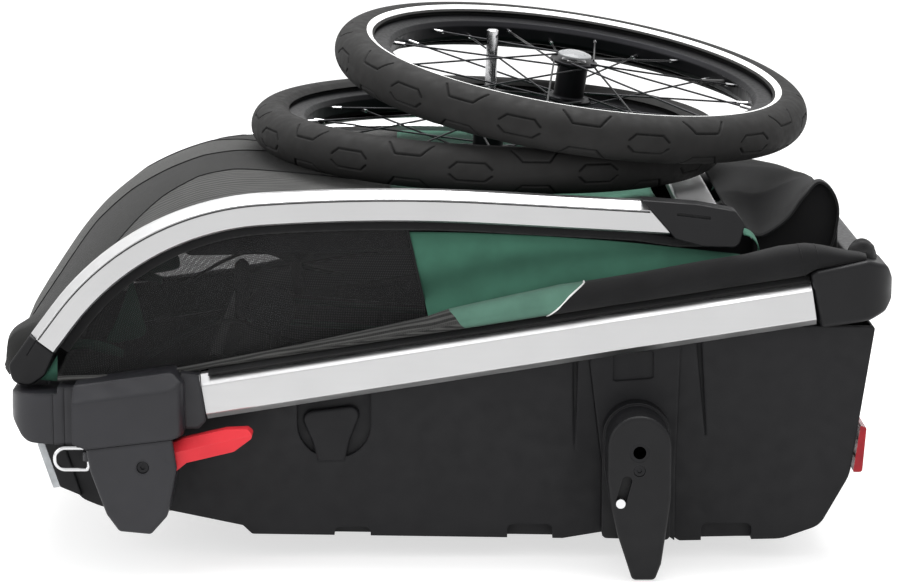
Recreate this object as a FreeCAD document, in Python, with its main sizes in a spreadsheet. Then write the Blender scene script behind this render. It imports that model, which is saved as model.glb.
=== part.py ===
import FreeCAD, Part
import math
import os
from FreeCAD import Placement, Rotation, Vector

# Child bicycle trailer, folded flat for storage, with its two wheels stacked on top.
# Millimetres. +X runs to the rear, -Y is the left side (hitch side), +Z is up.
# Z = 0 is the plane of the wheel bracket feet; the origin is the centre of the base.

DIMENSIONS = [
    ("tyre_ring", 226.5), ("tyre_section", 23.5), ("tyre_wall", 4.0),
    ("tube_ring", 229.0), ("tube_section", 16.4), ("tube_wall", 1.4),
    ("rim_outer", 214.0), ("rim_inner", 191.0), ("rim_half_width", 13.0),
    ("spoke_count", 24), ("spoke_radius", 1.0), ("nipple_radius", 1.9), ("nipple_length", 12.0),
    ("flange_radius", 25.0), ("flange_hole_ring", 22.5), ("flange_high", 20.0), ("flange_low", -23.0),
    ("hub_radius", 16.0), ("bearing_radius", 13.0), ("bearing_width", 7.0),
    ("axle_radius", 6.1), ("axle_clearance", 0.05), ("axle_length", 108.0),
    ("button_radius", 17.5), ("button_stem", 3.0), ("button_travel", 3.0),
    ("rail_outer", 300.0), ("rail_width", 24.0), ("rail_height", 45.0), ("rail_length", 601.4),
    ("rail_slope", 9.0), ("rail_wall", 2.6),
    ("bar_outer", 282.0), ("bar_width", 26.0), ("bar_height", 30.0), ("bar_start_angle", 53.0),
    ("bar_straight", 32.4), ("bar_bend_radius", 267.0), ("bar_bend_angle", 49.0),
    ("bar_roof_radius", 1830.0), ("bar_roof_angle", 7.2), ("bar_tail", 170.0),
    ("pivot_x", -413.0), ("pivot_z", 197.0), ("pivot_radius", 4.0), ("pivot_clearance", 0.05),
    ("corner_outer", 302.0), ("side_arm", 40.0), ("rear_arm", 77.0), ("front_arm", 62.0),
    ("ear_outer", 254.5), ("ear_width", 14.5),
    ("tub_half_width", 275.5), ("tub_wall", 4.0), ("tub_draft", 17.0),
    ("tongue_outer", 267.0), ("tongue_width", 10.0), ("window_outer", 276.6),
    ("hitch_outer", 330.0), ("hitch_width", 53.5), ("neck_outer", 304.0), ("neck_width", 27.5),
    ("receiver_radius", 14.0), ("receiver_y", 303.0), ("receiver_z", 85.0),
    ("lever_outer", 322.0), ("lever_width", 22.0), ("lever_x", -274.0), ("lever_z", 117.0),
    ("slot_outer", 325.0), ("slot_width", 28.0), ("lever_pin_radius", 3.0),
    ("bracket_outer", 345.0), ("bracket_width", 50.0), ("backing_outer", 296.0), ("backing_width", 20.2),
    ("socket_x", 183.0), ("socket_z", 127.0), ("socket_radius", 6.25), ("socket_outer", 9.5),
    ("socket_length", 62.0),
    ("screw_head", 5.5), ("screw_z", 109.0),
    ("release_radius", 4.6), ("release_slot", 5.0),
    ("leg_outer", 255.5), ("leg_width", 12.0), ("leg_length", 515.0), ("leg_depth", 22.0),
    ("leg_pivot_x", 262.0), ("leg_pivot_z", 325.0),
    ("seat_half_width", 200.0), ("seat_tube", 9.0), ("recline_x", 190.0), ("recline_z", 150.0),
    ("recline_rod", 8.0), ("backrest_length", 430.0), ("backrest_half", 185.0), ("backrest_depth", 26.0),
    ("panel_outer", 266.0), ("panel_width", 4.0), ("roll_outer", 298.0), ("roll_width", 30.0),
    ("flap_width", 450.0), ("cover_half", 249.0), ("cover_thick", 2.5),
    ("reflector_outer", 268.0), ("reflector_width", 54.0),
    ("loop_wire", 2.0),
]

LEFT, RIGHT = 1, -1
SIDES = (("left", LEFT), ("right", RIGHT))

doc = FreeCAD.newDocument("child_trailer")
sheet = doc.addObject("Spreadsheet::Sheet", "Dimensions")
for row, (alias, value) in enumerate(DIMENSIONS, start=1):
    sheet.set("A%d" % row, alias)
    sheet.set("B%d" % row, str(value))
    sheet.setAlias("B%d" % row, alias)
doc.recompute()
parts = []


def dim(alias):
    return float(getattr(sheet, alias))


def keep(item, label):
    item.Label = label
    parts.append(item)
    return item


# ---------------------------------------------------------------- outlines

def outline(corners):
    """Closed outline through (u, v) corners; a third value rounds that corner."""
    count = len(corners)
    stations = []
    for i in range(count):
        here = Vector(corners[i][0], corners[i][1], 0)
        radius = corners[i][2] if len(corners[i]) > 2 else 0
        if not radius:
            stations.append((here, here, here))
            continue
        before = Vector(corners[i - 1][0], corners[i - 1][1], 0) - here
        after = Vector(corners[(i + 1) % count][0], corners[(i + 1) % count][1], 0) - here
        before.normalize()
        after.normalize()
        half = before.getAngle(after) / 2
        middle = (before + after).normalize()
        reach = radius / math.tan(half)
        top = here + middle * (radius / math.sin(half) - radius)
        stations.append((here + before * reach, top, here + after * reach))
    edges = []
    for i in range(count):
        start, top, end = stations[i]
        if start.distanceToPoint(end) > 1e-6:
            edges.append(Part.Arc(start, top, end))
        following = stations[(i + 1) % count][0]
        if end.distanceToPoint(following) > 1e-6:
            edges.append(Part.LineSegment(end, following))
    return edges


def capsule(first, second, radius):
    """Slot outline round two centres."""
    along = (Vector(second[0], second[1], 0) - Vector(first[0], first[1], 0)).normalize()
    across = Vector(-along.y, along.x, 0) * radius
    start = Vector(first[0], first[1], 0)
    end = Vector(second[0], second[1], 0)
    return [
        Part.LineSegment(start + across, end + across),
        Part.Arc(end + across, end + along * radius, end - across),
        Part.LineSegment(end - across, start - across),
        Part.Arc(start - across, start - along * radius, start + across),
    ]


def ring(u, v, radius):
    return [Part.Circle(Vector(u, v, 0), Vector(0, 0, 1), radius)]


# ---------------------------------------------------------------- features

def new_body(name):
    return doc.addObject("PartDesign::Body", name)


def new_sketch(body, role, curves):
    plane = next(o for o in body.Origin.OriginFeatures if o.Role == role)
    sketch = body.newObject("Sketcher::SketchObject", "Sketch")
    sketch.AttachmentSupport = [(plane, "")]
    sketch.MapMode = "FlatFace"
    sketch.addGeometry(curves)
    return sketch


def side_pad(body, side, curves, outer, width):
    """Pad of a side view outline, its outer face at |Y| = outer."""
    sketch = new_sketch(body, "XZ_Plane", curves)
    place = "%d * (Dimensions.%s - Dimensions.%s / 2)" % (side, outer, width)
    sketch.setExpression("AttachmentOffset.Base.z", place)
    pad = body.newObject("PartDesign::Pad", "Pad")
    pad.Profile = sketch
    pad.Midplane = True
    pad.setExpression("Length", "Dimensions." + width)
    doc.recompute()
    return pad


def side_cut(body, side, curves, outer, width):
    """Pocket of a side view outline between |Y| = outer - width and outer."""
    volume = body.Shape.Volume
    sketch = new_sketch(body, "XZ_Plane", curves)
    sketch.AttachmentOffset = Placement(Vector(0, 0, side * (outer - width / 2)), Rotation())
    pocket = body.newObject("PartDesign::Pocket", "Pocket")
    pocket.Profile = sketch
    pocket.Midplane = True
    pocket.Length = width
    doc.recompute()
    if body.Shape.Volume >= volume:
        raise RuntimeError("a pocket cuts nothing in " + body.Name)
    return pocket


def plan_cut(body, curves):
    """Pocket of a plan view outline, right through."""
    volume = body.Shape.Volume
    pocket = body.newObject("PartDesign::Pocket", "Pocket")
    pocket.Profile = new_sketch(body, "XY_Plane", curves)
    pocket.Midplane = True
    pocket.Length = 2000
    doc.recompute()
    if body.Shape.Volume >= volume:
        raise RuntimeError("a plan cut misses " + body.Name)
    return pocket


def round_plan(body, x, y, into_x, into_y):
    """Round one vertical corner of the plan view; into_x and into_y point into the body."""
    bend = Vector(x + into_x * 0.2929, y + into_y * 0.2929, 0)
    a = Vector(x, y + into_y, 0)
    b = Vector(x + into_x, y, 0)
    past_x = x - math.copysign(3, into_x)
    past_y = y - math.copysign(3, into_y)
    corner = [b, Vector(b.x, past_y, 0), Vector(past_x, past_y, 0), Vector(past_x, a.y, 0), a]
    curves = [Part.Arc(a, bend, b)]
    curves += [Part.LineSegment(p, q) for p, q in zip(corner, corner[1:])]
    plan_cut(body, curves)


def soften(body, radius, pick, kind="Fillet"):
    """Fillet or chamfer the edges that pick(edge) accepts."""
    base = body.Tip
    names = ["Edge%d" % i for i, edge in enumerate(base.Shape.Edges, start=1) if pick(edge)]
    if not names:
        raise RuntimeError("no edge to soften on " + body.Name)
    feature = body.newObject("PartDesign::" + kind, kind)
    feature.Base = (base, names)
    if kind == "Fillet":
        feature.Radius = radius
    else:
        feature.Size = radius
    doc.recompute()
    if "Invalid" in feature.State or feature.Shape.isNull():
        raise RuntimeError("cannot soften " + body.Name)
    return feature


def on_face(y):
    """Edges that lie in the plane Y = y."""
    def pick(edge):
        box = edge.BoundBox
        return abs(box.YMin - y) < 0.01 and abs(box.YMax - y) < 0.01
    return pick


def turned(body, corners):
    """Revolve an (r, z) outline about the body's Z axis."""
    sketch = new_sketch(body, "XZ_Plane", corners)
    revolution = body.newObject("PartDesign::Revolution", "Revolution")
    revolution.Profile = sketch
    revolution.ReferenceAxis = (sketch, ["V_Axis"])
    revolution.Angle = 360
    doc.recompute()
    return revolution


def cylinder(radius, start, end, name="Cylinder"):
    """Part::Cylinder from start to end; radius is a number or an expression."""
    item = doc.addObject("Part::Cylinder", name)
    if isinstance(radius, str):
        item.setExpression("Radius", radius)
    else:
        item.Radius = radius
    item.Height = start.distanceToPoint(end)
    item.Placement = Placement(start, Rotation(Vector(0, 0, 1), end - start))
    return item


def cut(base, tool, name="Cut"):
    item = doc.addObject("Part::Cut", name)
    item.Base = base
    item.Tool = tool
    return item


def fuse(items, name="Fuse"):
    item = doc.addObject("Part::MultiFuse", name)
    item.Shapes = items
    return item


def group(items, name):
    item = doc.addObject("Part::Compound", name)
    item.Links = items
    return item


def set_shape(name, shape):
    item = doc.addObject("Part::Feature", name)
    item.Shape = shape
    return item


# ---------------------------------------------------------------- lower frame

def side_rail(name, side):
    """Aluminium extrusion with bevelled top and bottom shoulders."""
    outer = -side * dim("rail_outer")
    inner = -side * (dim("rail_outer") - dim("rail_width"))
    top = dim("rail_height") / 2
    profile = [
        (outer, -16, 2), (outer, 12, 2), (outer + side * 11, top, 2), (inner - side * 2, top, 1.5),
        (inner, top - 4, 1), (inner, 4 - top, 1), (inner - side * 2, -top, 1.5), (outer + side * 8, -top, 2),
    ]
    wall = dim("rail_wall")
    hollow = [
        (outer + side * wall, 1 - 16), (outer + side * wall, 11), (outer + side * 12, top - wall),
        (inner - side * wall, top - wall), (inner - side * wall, wall - top), (outer + side * 9, wall - top),
    ]
    body = new_body(name)
    pad = body.newObject("PartDesign::Pad", "Pad")
    pad.Profile = new_sketch(body, "YZ_Plane", outline(profile) + outline(hollow))
    pad.setExpression("Length", "Dimensions.rail_length")
    body.Placement = Placement(Vector(-240.5, 0, 171.5), Rotation(Vector(0, 1, 0), -dim("rail_slope")))
    keep(body, name)


def rear_corner(name, side):
    """Moulded corner from the side rail round to the rear crossbar."""
    side_view = [
        (361, 241, 2), (349.8, 293, 3), (356, 297), (405, 307.5, 12), (426, 301, 12), (433, 285, 8),
        (432, 266, 8), (424, 255, 8), (408, 248),
    ]
    body = new_body(name)
    side_pad(body, side, outline(side_view), "corner_outer", "rear_arm")
    inner = -side * (dim("corner_outer") - dim("side_arm"))
    deep = -side * (dim("corner_outer") - dim("rear_arm") - 2)
    plan_cut(body, outline([(340, inner), (388, inner, 10), (388, deep), (340, deep)]))
    round_plan(body, 433, -side * dim("corner_outer"), -38, side * 38)
    soften(body, 5, on_face(-side * dim("corner_outer")))
    keep(body, name)


def front_corner(name, side):
    """Moulded front corner with the ear that carries the fold hinge."""
    side_view = [
        (-431, 151, 14), (-429, 182, 9), (-366.3, 182, 2), (-366.3, 126, 2), (-385, 125.5), (-416, 128, 18),
    ]
    ear = [(-426, 150), (-426, 209, 12), (-400, 209, 12), (-396, 150)]
    body = new_body(name)
    side_pad(body, side, outline(side_view), "corner_outer", "front_arm")
    clear = dim("corner_outer") - dim("bar_outer") + dim("bar_width") + 22
    side_cut(body, side, outline([(-440, 176), (-440, 190), (-383, 190), (-383, 176)]),
             dim("corner_outer") + 1, clear)
    side_pad(body, side, outline(ear), "ear_outer", "ear_width")
    round_plan(body, -431, -side * dim("corner_outer"), 32, side * 32)
    hole = ring(dim("pivot_x"), dim("pivot_z"), dim("pivot_radius"))
    side_cut(body, side, hole, dim("ear_outer") + 5, dim("ear_width") + 10)
    for x in (-388, -377):
        groove = [(x, 120), (x, 190), (x + 1.2, 190), (x + 1.2, 120)]
        side_cut(body, side, outline(groove), dim("corner_outer") + 1, 2.2)
    keep(body, name)


def crossbar(name, corners, length):
    """Straight bar across the trailer with a side view outline."""
    body = new_body(name)
    sketch = new_sketch(body, "XZ_Plane", outline(corners))
    pad = body.newObject("PartDesign::Pad", "Pad")
    pad.Profile = sketch
    pad.Midplane = True
    pad.setExpression("Length", length)
    return body


def hitch_upper():
    """Upper hitch housing, bolted between front corner and left rail."""
    block = [(-366, 132), (-366, 187, 3), (-270, 200, 10), (-258, 190, 8), (-258, 140, 4), (-269, 136.6), (-353, 126.6)]
    neck = [(-262, 142), (-262, 197), (-244.6, 195), (-238, 149.5, 3), (-245, 142, 3)]
    body = new_body("hitch_upper_block")
    side_pad(body, LEFT, outline(block), "hitch_outer", "hitch_width")
    side_pad(body, LEFT, outline(neck), "neck_outer", "neck_width")
    round_plan(body, -258, -dim("hitch_outer"), -16, 16)
    keep(cut(body, shoulder_wedge((-370, 186.5), (-250, 202.7), dim("hitch_outer"), 15)), "hitch_upper")


def shoulder_wedge(start, end, outer, size):
    """Prism that bevels a left side top edge running from start to end (x, z)."""
    x, z = start
    corners = [(-outer - 2, z - size - 2), (-outer + size + 4, z + 4), (-outer - 2, z + 4)]
    points = [Vector(x, y, height) for y, height in corners]
    face = Part.Face(Part.makePolygon(points + points[:1]))
    return set_shape("Wedge", face.extrude(Vector(end[0] - x, 0, end[1] - z)))


def hitch_lower():
    """Lower hitch housing with the tow arm receiver, the lever slot and the loop eyelet."""
    block = [
        (-353, 126), (-269, 136), (-265, 108, 10), (-275, 60, 6), (-291, 42, 5), (-322, 45, 6), (-334, 62, 14),
        (-349, 104, 6),
    ]
    slot = [(-287, 101, 2), (-287, 134.3), (-250, 138), (-250, 101)]
    body = new_body("hitch_lower_block")
    side_pad(body, LEFT, outline(block), "hitch_outer", "hitch_width")
    soften(body, 3, lambda e: on_face(-dim("hitch_outer"))(e) and e.BoundBox.ZMax < 125)
    side_cut(body, LEFT, outline(slot), dim("slot_outer"), dim("slot_width"))
    side_cut(body, LEFT, ring(-298, dim("screw_z"), dim("screw_head") + 0.6), dim("hitch_outer") + 1, 6)
    side_cut(body, LEFT, ring(dim("lever_x"), dim("lever_z"), dim("lever_pin_radius")),
             dim("hitch_outer") - 2, dim("hitch_width") - 18)
    bore = cylinder("Dimensions.receiver_radius", Vector(-360, -dim("receiver_y"), dim("receiver_z")),
                    Vector(-283, -dim("receiver_y"), dim("receiver_z")))
    eyelet = cut(
        fuse([cylinder(6, Vector(-353, -303, 110), Vector(-353, -303, 119)),
              box_between((-353, -309, 110), (-346, -297, 119))]),
        cylinder("Dimensions.loop_wire + Dimensions.pivot_clearance", Vector(-353, -303, 108),
                 Vector(-353, -303, 121)))
    pocket = cylinder(8.5, Vector(-353, -303, 98), Vector(-353, -303, 130))
    keep(fuse([cut(cut(body, bore), pocket), eyelet], "hitch_lower_solid"), "hitch_lower")


def box_between(low, high):
    item = doc.addObject("Part::Box", "Box")
    item.Length, item.Width, item.Height = [h - l for l, h in zip(low, high)]
    item.Placement = Placement(Vector(*low), Rotation())
    return item


def front_sleeve():
    """Sleeve that joins the front corner to the right rail, opposite the hitch."""
    side_view = [
        (-366, 128, 3), (-366, 184, 3), (-262, 198), (-244.6, 195), (-238, 149.5, 3), (-262, 144),
    ]
    body = new_body("front_sleeve_right")
    side_pad(body, RIGHT, outline(side_view), "neck_outer", "neck_width")
    soften(body, 6, on_face(dim("neck_outer")))
    keep(body, "front_sleeve_right")


# ---------------------------------------------------------------- tub

TUB_OUTER = [
    (-384, 92, 18), (-366, 62, 20), (-345, 53, 30), (-276, 49), (-206, 34, 4), (-197, 25, 5), (112, 20.5, 6),
    (150, 27, 6), (216, 27, 6), (228, 18, 6), (330, 20, 40), (368, 34, 22), (396, 86, 40), (417, 238, 3),
    (346, 238), (346, 258), (-236, 166), (-236, 160), (-362, 140), (-362, 124.5), (-384, 124.5, 3),
]
TUB_INNER = [
    (-380, 92, 15), (-364, 67, 18), (-344, 57, 28), (-275, 53), (-204, 38, 3), (-195, 29, 3), (112, 24.5, 4),
    (148, 31, 4), (218, 31, 4), (230, 22, 4), (329, 24, 36), (365, 37, 20), (392, 87, 38), (413, 238),
    (413, 300), (-380, 300),
]
PANEL = [(137.8, 300), (137.8, 200), (150.8, 96), (150.8, -10), (222.4, -10), (222.4, 96), (225.8, 210), (225.8, 300)]
FLUTES = ((119, 127, 123.5, 108, 221), (237, 245, 252.5, 127, 240))
SCOOPS = ((-115, -79, 23.7, 32), (57, 102, 21.2, 35), (250, 300, 19.2, 36))


def wall_wedge(side, half_top, half_low):
    """Wedge outside a drafted side wall, left out at the upright panel behind the wheel bracket."""
    top = Vector(-450, -side * half_top, 262)
    low = Vector(-450, -side * half_low, 5)
    far = [Vector(-450, -side * 400, 5), Vector(-450, -side * 400, 262)]
    face = Part.Face(Part.makePolygon([top, low] + far + [top]))
    wedge = set_shape("Wedge", face.extrude(Vector(900, 0, 0)))
    return cut(wedge, side_block("panel_keeper", side, outline(PANEL), 200, 420))


def tub_half(name, corners, inset):
    """Solid tub shape: side view across the full width, less the drafts of the side walls."""
    body = new_body(name)
    pad = body.newObject("PartDesign::Pad", "Pad")
    pad.Profile = new_sketch(body, "XZ_Plane", outline(corners))
    pad.Midplane = True
    pad.setExpression("Length", "2 * (Dimensions.tub_half_width - %g)" % inset)
    top = dim("tub_half_width") - inset
    low = top - dim("tub_draft")
    solid = body
    for side in (LEFT, RIGHT):
        solid = cut(solid, wall_wedge(side, top, low))
    return solid


def arch_view(start, end, arch, mouth, radius):
    """Side view outline, square at the height mouth and with rounded corners at the height arch."""
    return outline([(start, mouth), (start, arch, radius), (end, arch, radius), (end, mouth)])


def side_block(name, side, curves, inner, outer):
    """Pad of a side view outline between |Y| = inner and outer."""
    body = new_body(name)
    sketch = new_sketch(body, "XZ_Plane", curves)
    sketch.AttachmentOffset = Placement(Vector(0, 0, side * (inner + outer) / 2), Rotation())
    pad = body.newObject("PartDesign::Pad", "Pad")
    pad.Profile = sketch
    pad.Midplane = True
    pad.Length = outer - inner
    return body


def sink(shell, side, hollow, depth, lining, reach):
    """Sink a hollow into the shell from outside down to |Y| = depth, with a lining behind it."""
    back = side_block("tub_lining", side, lining, depth - 3, reach)
    pocket = side_block("tub_hollow", side, hollow, depth, 290)
    return cut(fuse([shell, back]), pocket)


def tub():
    """Open moulded tub that carries the child's feet and seat."""
    shell = cut(tub_half("tub_outside", TUB_OUTER, 0), tub_half("tub_inside", TUB_INNER, dim("tub_wall")))
    for side in (LEFT, RIGHT):
        shell = sink(shell, side, arch_view(-151, -78, 104, 170, 34), 259.6, arch_view(-155, -74, 100, 170, 37), 265)
        for start, end, low, top in SCOOPS:
            hollow = arch_view(end, start, top, low - 15, 6)
            lining = arch_view(end + 3, start - 3, top + 3, low, 6)
            shell = sink(shell, side, hollow, 246, lining, 257)
        for start, end, tip, low, rim in FLUTES:
            flute = outline([(start, 262), (end, 262), (tip + 0.8, low), (tip - 0.8, low)])
            lining = outline([(start - 4, rim), (end + 4, rim), (tip + 6, 152), (tip - 6, 152)])
            shell = sink(shell, side, flute, 265.4, lining, 266.5)
        tongue = new_body("tub_tongue")
        side_pad(tongue, side, outline([(-149, 150, 9), (-85, 158, 9), (-99, 122, 10), (-104, 100), (-131, 100),
                                        (-136, 120, 10)]), "tongue_outer", "tongue_width")
        soften(tongue, 3, on_face(-side * dim("tongue_outer")))
        window = new_body("tub_window")
        side_pad(window, side, outline([(160, 183, 3), (160, 212, 3), (200, 214, 3), (200, 186, 3)]),
                 "window_outer", "tub_wall")
        shell = fuse([cut(shell, window), tongue])
        carrier = new_body("reflector_carrier")
        side_pad(carrier, side, outline([(-401, 121), (-383, 123), (-365, 66), (-386, 75)]),
                 "reflector_outer", "reflector_width")
        shell = fuse([shell, cut(carrier, tub_half("tub_inside_again", TUB_INNER, dim("tub_wall")))])
    keep(shell, "tub")


# ---------------------------------------------------------------- wheel brackets

def wheel_bracket(name, side):
    """Arched bracket on the tub side that takes a wheel axle; its foot carries the folded trailer."""
    arch = [
        (152, 163, 30.9), (152, 100), (156, 74), (162, 46), (177, 0, 5), (199, 0, 5), (205, 16), (214, 81),
        (214, 163, 30.9),
    ]
    backing = [(149.5, 30, 5), (149.5, 165.5, 33), (216.5, 165.5, 33), (216.5, 28, 5)]
    slot = capsule((165, 77), (171, 99), dim("release_slot"))
    body = new_body(name)
    outer = dim("bracket_outer")
    side_pad(body, side, outline(arch), "bracket_outer", "bracket_width")
    soften(body, 4, on_face(-side * outer))
    side_pad(body, side, outline(backing), "backing_outer", "backing_width")
    side_cut(body, side, ring(dim("socket_x"), dim("socket_z"), dim("socket_outer")), outer + 5, 100)
    side_cut(body, side, ring(dim("socket_x"), dim("screw_z"), dim("screw_head") + 0.3), outer + 1, 6)
    side_cut(body, side, slot, outer + 1, 9)
    keep(body, name)


def axle_socket(name, side):
    """Steel sleeve pressed into the wheel bracket; the wheel's quick-release axle goes in here."""
    start = Vector(dim("socket_x"), -side * (dim("bracket_outer") - 0.4), dim("socket_z"))
    end = start + Vector(0, side * dim("socket_length"), 0)
    reach = Vector(0, side * 5, 0)
    sleeve = cylinder("Dimensions.socket_outer", start, end)
    bore = cylinder("Dimensions.socket_radius", start - reach, end + reach)
    keep(cut(sleeve, bore), name)


def screws():
    """Socket-head screws of the hitch housing and the wheel brackets."""
    places = [(-298, LEFT, dim("hitch_outer"))]
    places += [(dim("socket_x"), side, dim("bracket_outer")) for _, side in SIDES]
    items = []
    for x, side, outer in places:
        face = Vector(x, -side * (outer - 1.5), dim("screw_z"))
        into = Vector(0, side, 0)
        head = cylinder("Dimensions.screw_head", face, face + into * 3.5)
        hexagon = doc.addObject("Part::Prism", "Hexagon")
        hexagon.Polygon = 6
        hexagon.Circumradius = 2.6
        hexagon.Height = 2.4
        hexagon.Placement = Placement(face - into * 0.2, Rotation(Vector(0, 0, 1), into))
        items.append(cut(head, hexagon))
    keep(group(items, "screw_group"), "housing_screws")


def release_pin(name, side):
    """Sliding release pin in the slot of the wheel bracket."""
    start = Vector(165, -side * (dim("bracket_outer") + 2), 77)
    end = start + Vector(0, side * 9.4, 0)
    pin = cylinder("Dimensions.release_radius", start, end)
    keep(pin, name)


# ---------------------------------------------------------------- hitch details

def hitch_lever():
    """Red release lever with three grip ridges; it turns about a pin in the hitch housing."""
    side_view = [
        (-279, 108, 8), (-279, 126, 8), (-262, 133), (-218, 143), (-197, 144, 3), (-190, 138, 4),
        (-210, 123, 6), (-256, 112), (-267, 103, 2),
    ]
    body = new_body("hitch_lever_block")
    side_pad(body, LEFT, outline(side_view), "lever_outer", "lever_width")
    clearance = dim("lever_pin_radius") + dim("pivot_clearance")
    side_cut(body, LEFT, ring(dim("lever_x"), dim("lever_z"), clearance), dim("lever_outer") + 5, 40)
    ridges = []
    for x in (-246, -234, -222):
        ridges.append(cylinder(0.9, Vector(x, -318.5, 137.6 + (x + 246) * 0.2),
                               Vector(x + 9, -304, 144.2 + (x + 246) * 0.12)))
    bevel = shoulder_wedge((-272, 130), (-180, 151), dim("lever_outer"), 9)
    keep(cut(cut(body, bevel), fuse(ridges)), "hitch_lever")


def wire_loop():
    """Closed wire loop for the safety strap; its rear leg turns in the eyelet."""
    curves = outline([(-386, 101, 10), (-386, 122.5, 10), (-353, 122.5, 3.5), (-353, 101, 3.5)])
    wire = Part.Wire([c.toShape() for c in curves])
    turn = Placement(Vector(0, -dim("receiver_y"), 0), Rotation(Vector(1, 0, 0), 90))
    wire.Placement = turn
    start = wire.Edges[0].Vertexes[0].Point
    along = wire.Edges[0].tangentAt(wire.Edges[0].FirstParameter)
    section = Part.Wire(Part.makeCircle(dim("loop_wire"), start, along))
    keep(set_shape("loop_sweep", wire.makePipeShell([section], True, True)), "wire_loop")


def pivot_pins():
    """Fold hinge pins on both sides and the pin of the hitch lever."""
    items = []
    for _, side in SIDES:
        start = Vector(dim("pivot_x"), -side * (dim("bar_outer") - 2), dim("pivot_z"))
        items.append(cylinder("Dimensions.pivot_radius", start, start + Vector(0, side * 40, 0)))
    start = Vector(dim("lever_x"), -dim("hitch_outer") + 2, dim("lever_z"))
    items.append(cylinder("Dimensions.lever_pin_radius", start, start + Vector(0, 33.5, 0)))
    keep(group(items, "pin_group"), "pivot_pins")


def reflectors(name, corners):
    items = []
    for _, side in SIDES:
        body = new_body("reflector")
        side_pad(body, side, outline(corners), "reflector_outer", "reflector_width")
        items.append(body)
    keep(group(items, name + "_pair"), name)


# ---------------------------------------------------------------- upper frame

def bar_point(distance):
    """Centre line of the upper bar: x, z and heading (radians) at a distance along it."""
    x, z = -399.0, 221.5
    heading = math.radians(dim("bar_start_angle"))
    stretches = [
        (dim("bar_straight"), 0),
        (dim("bar_bend_radius"), math.radians(dim("bar_bend_angle"))),
        (dim("bar_roof_radius"), math.radians(dim("bar_roof_angle"))),
    ]
    for value, turn in stretches:
        length = value * turn if turn else value
        step = min(distance, length)
        if turn:
            after = heading - step / value
            x += value * (math.sin(heading) - math.sin(after))
            z += value * (math.cos(after) - math.cos(heading))
            heading = after
        else:
            x += step * math.cos(heading)
            z += step * math.sin(heading)
        distance -= step
        if distance <= 0:
            return x, z, heading
    return x + distance * math.cos(heading), z + distance * math.sin(heading), heading


def upper_bar(name, side):
    """Bent aluminium roof bar: one section swept along two arcs."""
    outer = -side * dim("bar_outer")
    inner = -side * (dim("bar_outer") - dim("bar_width"))
    half = dim("bar_height") / 2
    profile = [
        (outer, 2 - half, 1), (outer, 5), (outer + side * 1.3, 5), (outer + side * 1.3, 6.5),
        (outer + side * 0.4, 6.5, 0.6), (outer + side * 11, half, 4), (inner - side * 2, half, 1.5),
        (inner, half - 2, 0.5), (inner, 2 - half, 0.5), (inner - side * 2, -half, 1), (outer + side * 2, -half, 1),
    ]
    wall = dim("rail_wall")
    hollow = [
        (outer + side * (wall + 1.3), wall - half), (outer + side * (wall + 1.3), 4), (outer + side * 12, half - wall),
        (inner - side * wall, half - wall), (inner - side * wall, wall - half),
    ]
    bend, roof = dim("bar_bend_radius"), dim("bar_roof_radius")
    first = math.radians(dim("bar_bend_angle"))
    second = first + math.radians(dim("bar_roof_angle"))
    start = Vector(dim("bar_straight"), 0, 0)

    def along(origin, radius, begin, end):
        return origin + Vector(radius * (math.sin(end) - math.sin(begin)),
                               radius * (math.cos(end) - math.cos(begin)), 0)
    knee = along(start, bend, 0, first)
    ridge = along(knee, roof, first, second)
    tail = ridge + Vector(math.cos(second), -math.sin(second), 0) * dim("bar_tail")
    path = [
        Part.LineSegment(Vector(0, 0, 0), start),
        Part.Arc(start, along(start, bend, 0, first / 2), knee),
        Part.Arc(knee, along(knee, roof, first, (first + second) / 2), ridge),
        Part.LineSegment(ridge, tail),
    ]
    body = new_body(name + "_extrusion")
    pipe = body.newObject("PartDesign::AdditivePipe", "Pipe")
    pipe.Profile = new_sketch(body, "YZ_Plane", outline(profile) + outline(hollow))
    pipe.Spine = new_sketch(body, "XZ_Plane", path)
    body.Placement = Placement(Vector(-399, 0, 221.5), Rotation(Vector(0, 1, 0), -dim("bar_start_angle")))
    trim = new_body(name + "_trim")
    side_pad(trim, side, outline([(184, 366), (219.5, 325.2), (400, 300), (400, 400), (184, 400)]),
             "corner_outer", "rear_arm")
    keep(cut(body, trim), name)


def hinge_cap(name, side):
    """Front end of the roof bar with the fold hinge eye."""
    side_view = [
        (-411.3, 230.2), (-387.2, 212.1, 2), (-397, 190, 10), (-412, 179, 12), (-429, 183, 10), (-433, 200, 10),
    ]
    body = new_body(name)
    side_pad(body, side, outline(side_view), "bar_outer", "bar_width")
    soften(body, 2.5, lambda e: on_face(-side * dim("bar_outer"))(e))
    slit = [(-405, 226), (-404, 225.2), (-414, 209.8), (-415, 210.6)]
    side_cut(body, side, outline(slit), dim("bar_outer") + 1, 2.5)
    hole = ring(dim("pivot_x"), dim("pivot_z"), dim("pivot_radius") + dim("pivot_clearance"))
    side_cut(body, side, hole, dim("bar_outer") - 1.5, dim("bar_width") + 4)
    keep(body, name)


def end_cap(name, side):
    """Rear end cap of the roof bar with a finger slot, the crossbar seat and the leg pivot stub."""
    side_view = [
        (185.9, 364.2), (219.5, 325.6), (246, 318), (281, 317, 8), (287, 340, 8), (277, 353.5, 8),
        (240, 360),
    ]
    slot = capsule((222, 350), (252, 346.5), 1.6)
    body = new_body(name + "_block")
    side_pad(body, side, outline(side_view), "bar_outer", "bar_width")
    soften(body, 2, on_face(-side * dim("bar_outer")))
    side_cut(body, side, slot, dim("bar_outer") + 1, 4)
    start = Vector(dim("leg_pivot_x"), -side * (dim("bar_outer") - dim("bar_width") + 4), dim("leg_pivot_z"))
    stub = cylinder("Dimensions.pivot_radius", start, start + Vector(0, side * 16.5, 0))
    keep(fuse([body, stub]), name)


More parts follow.
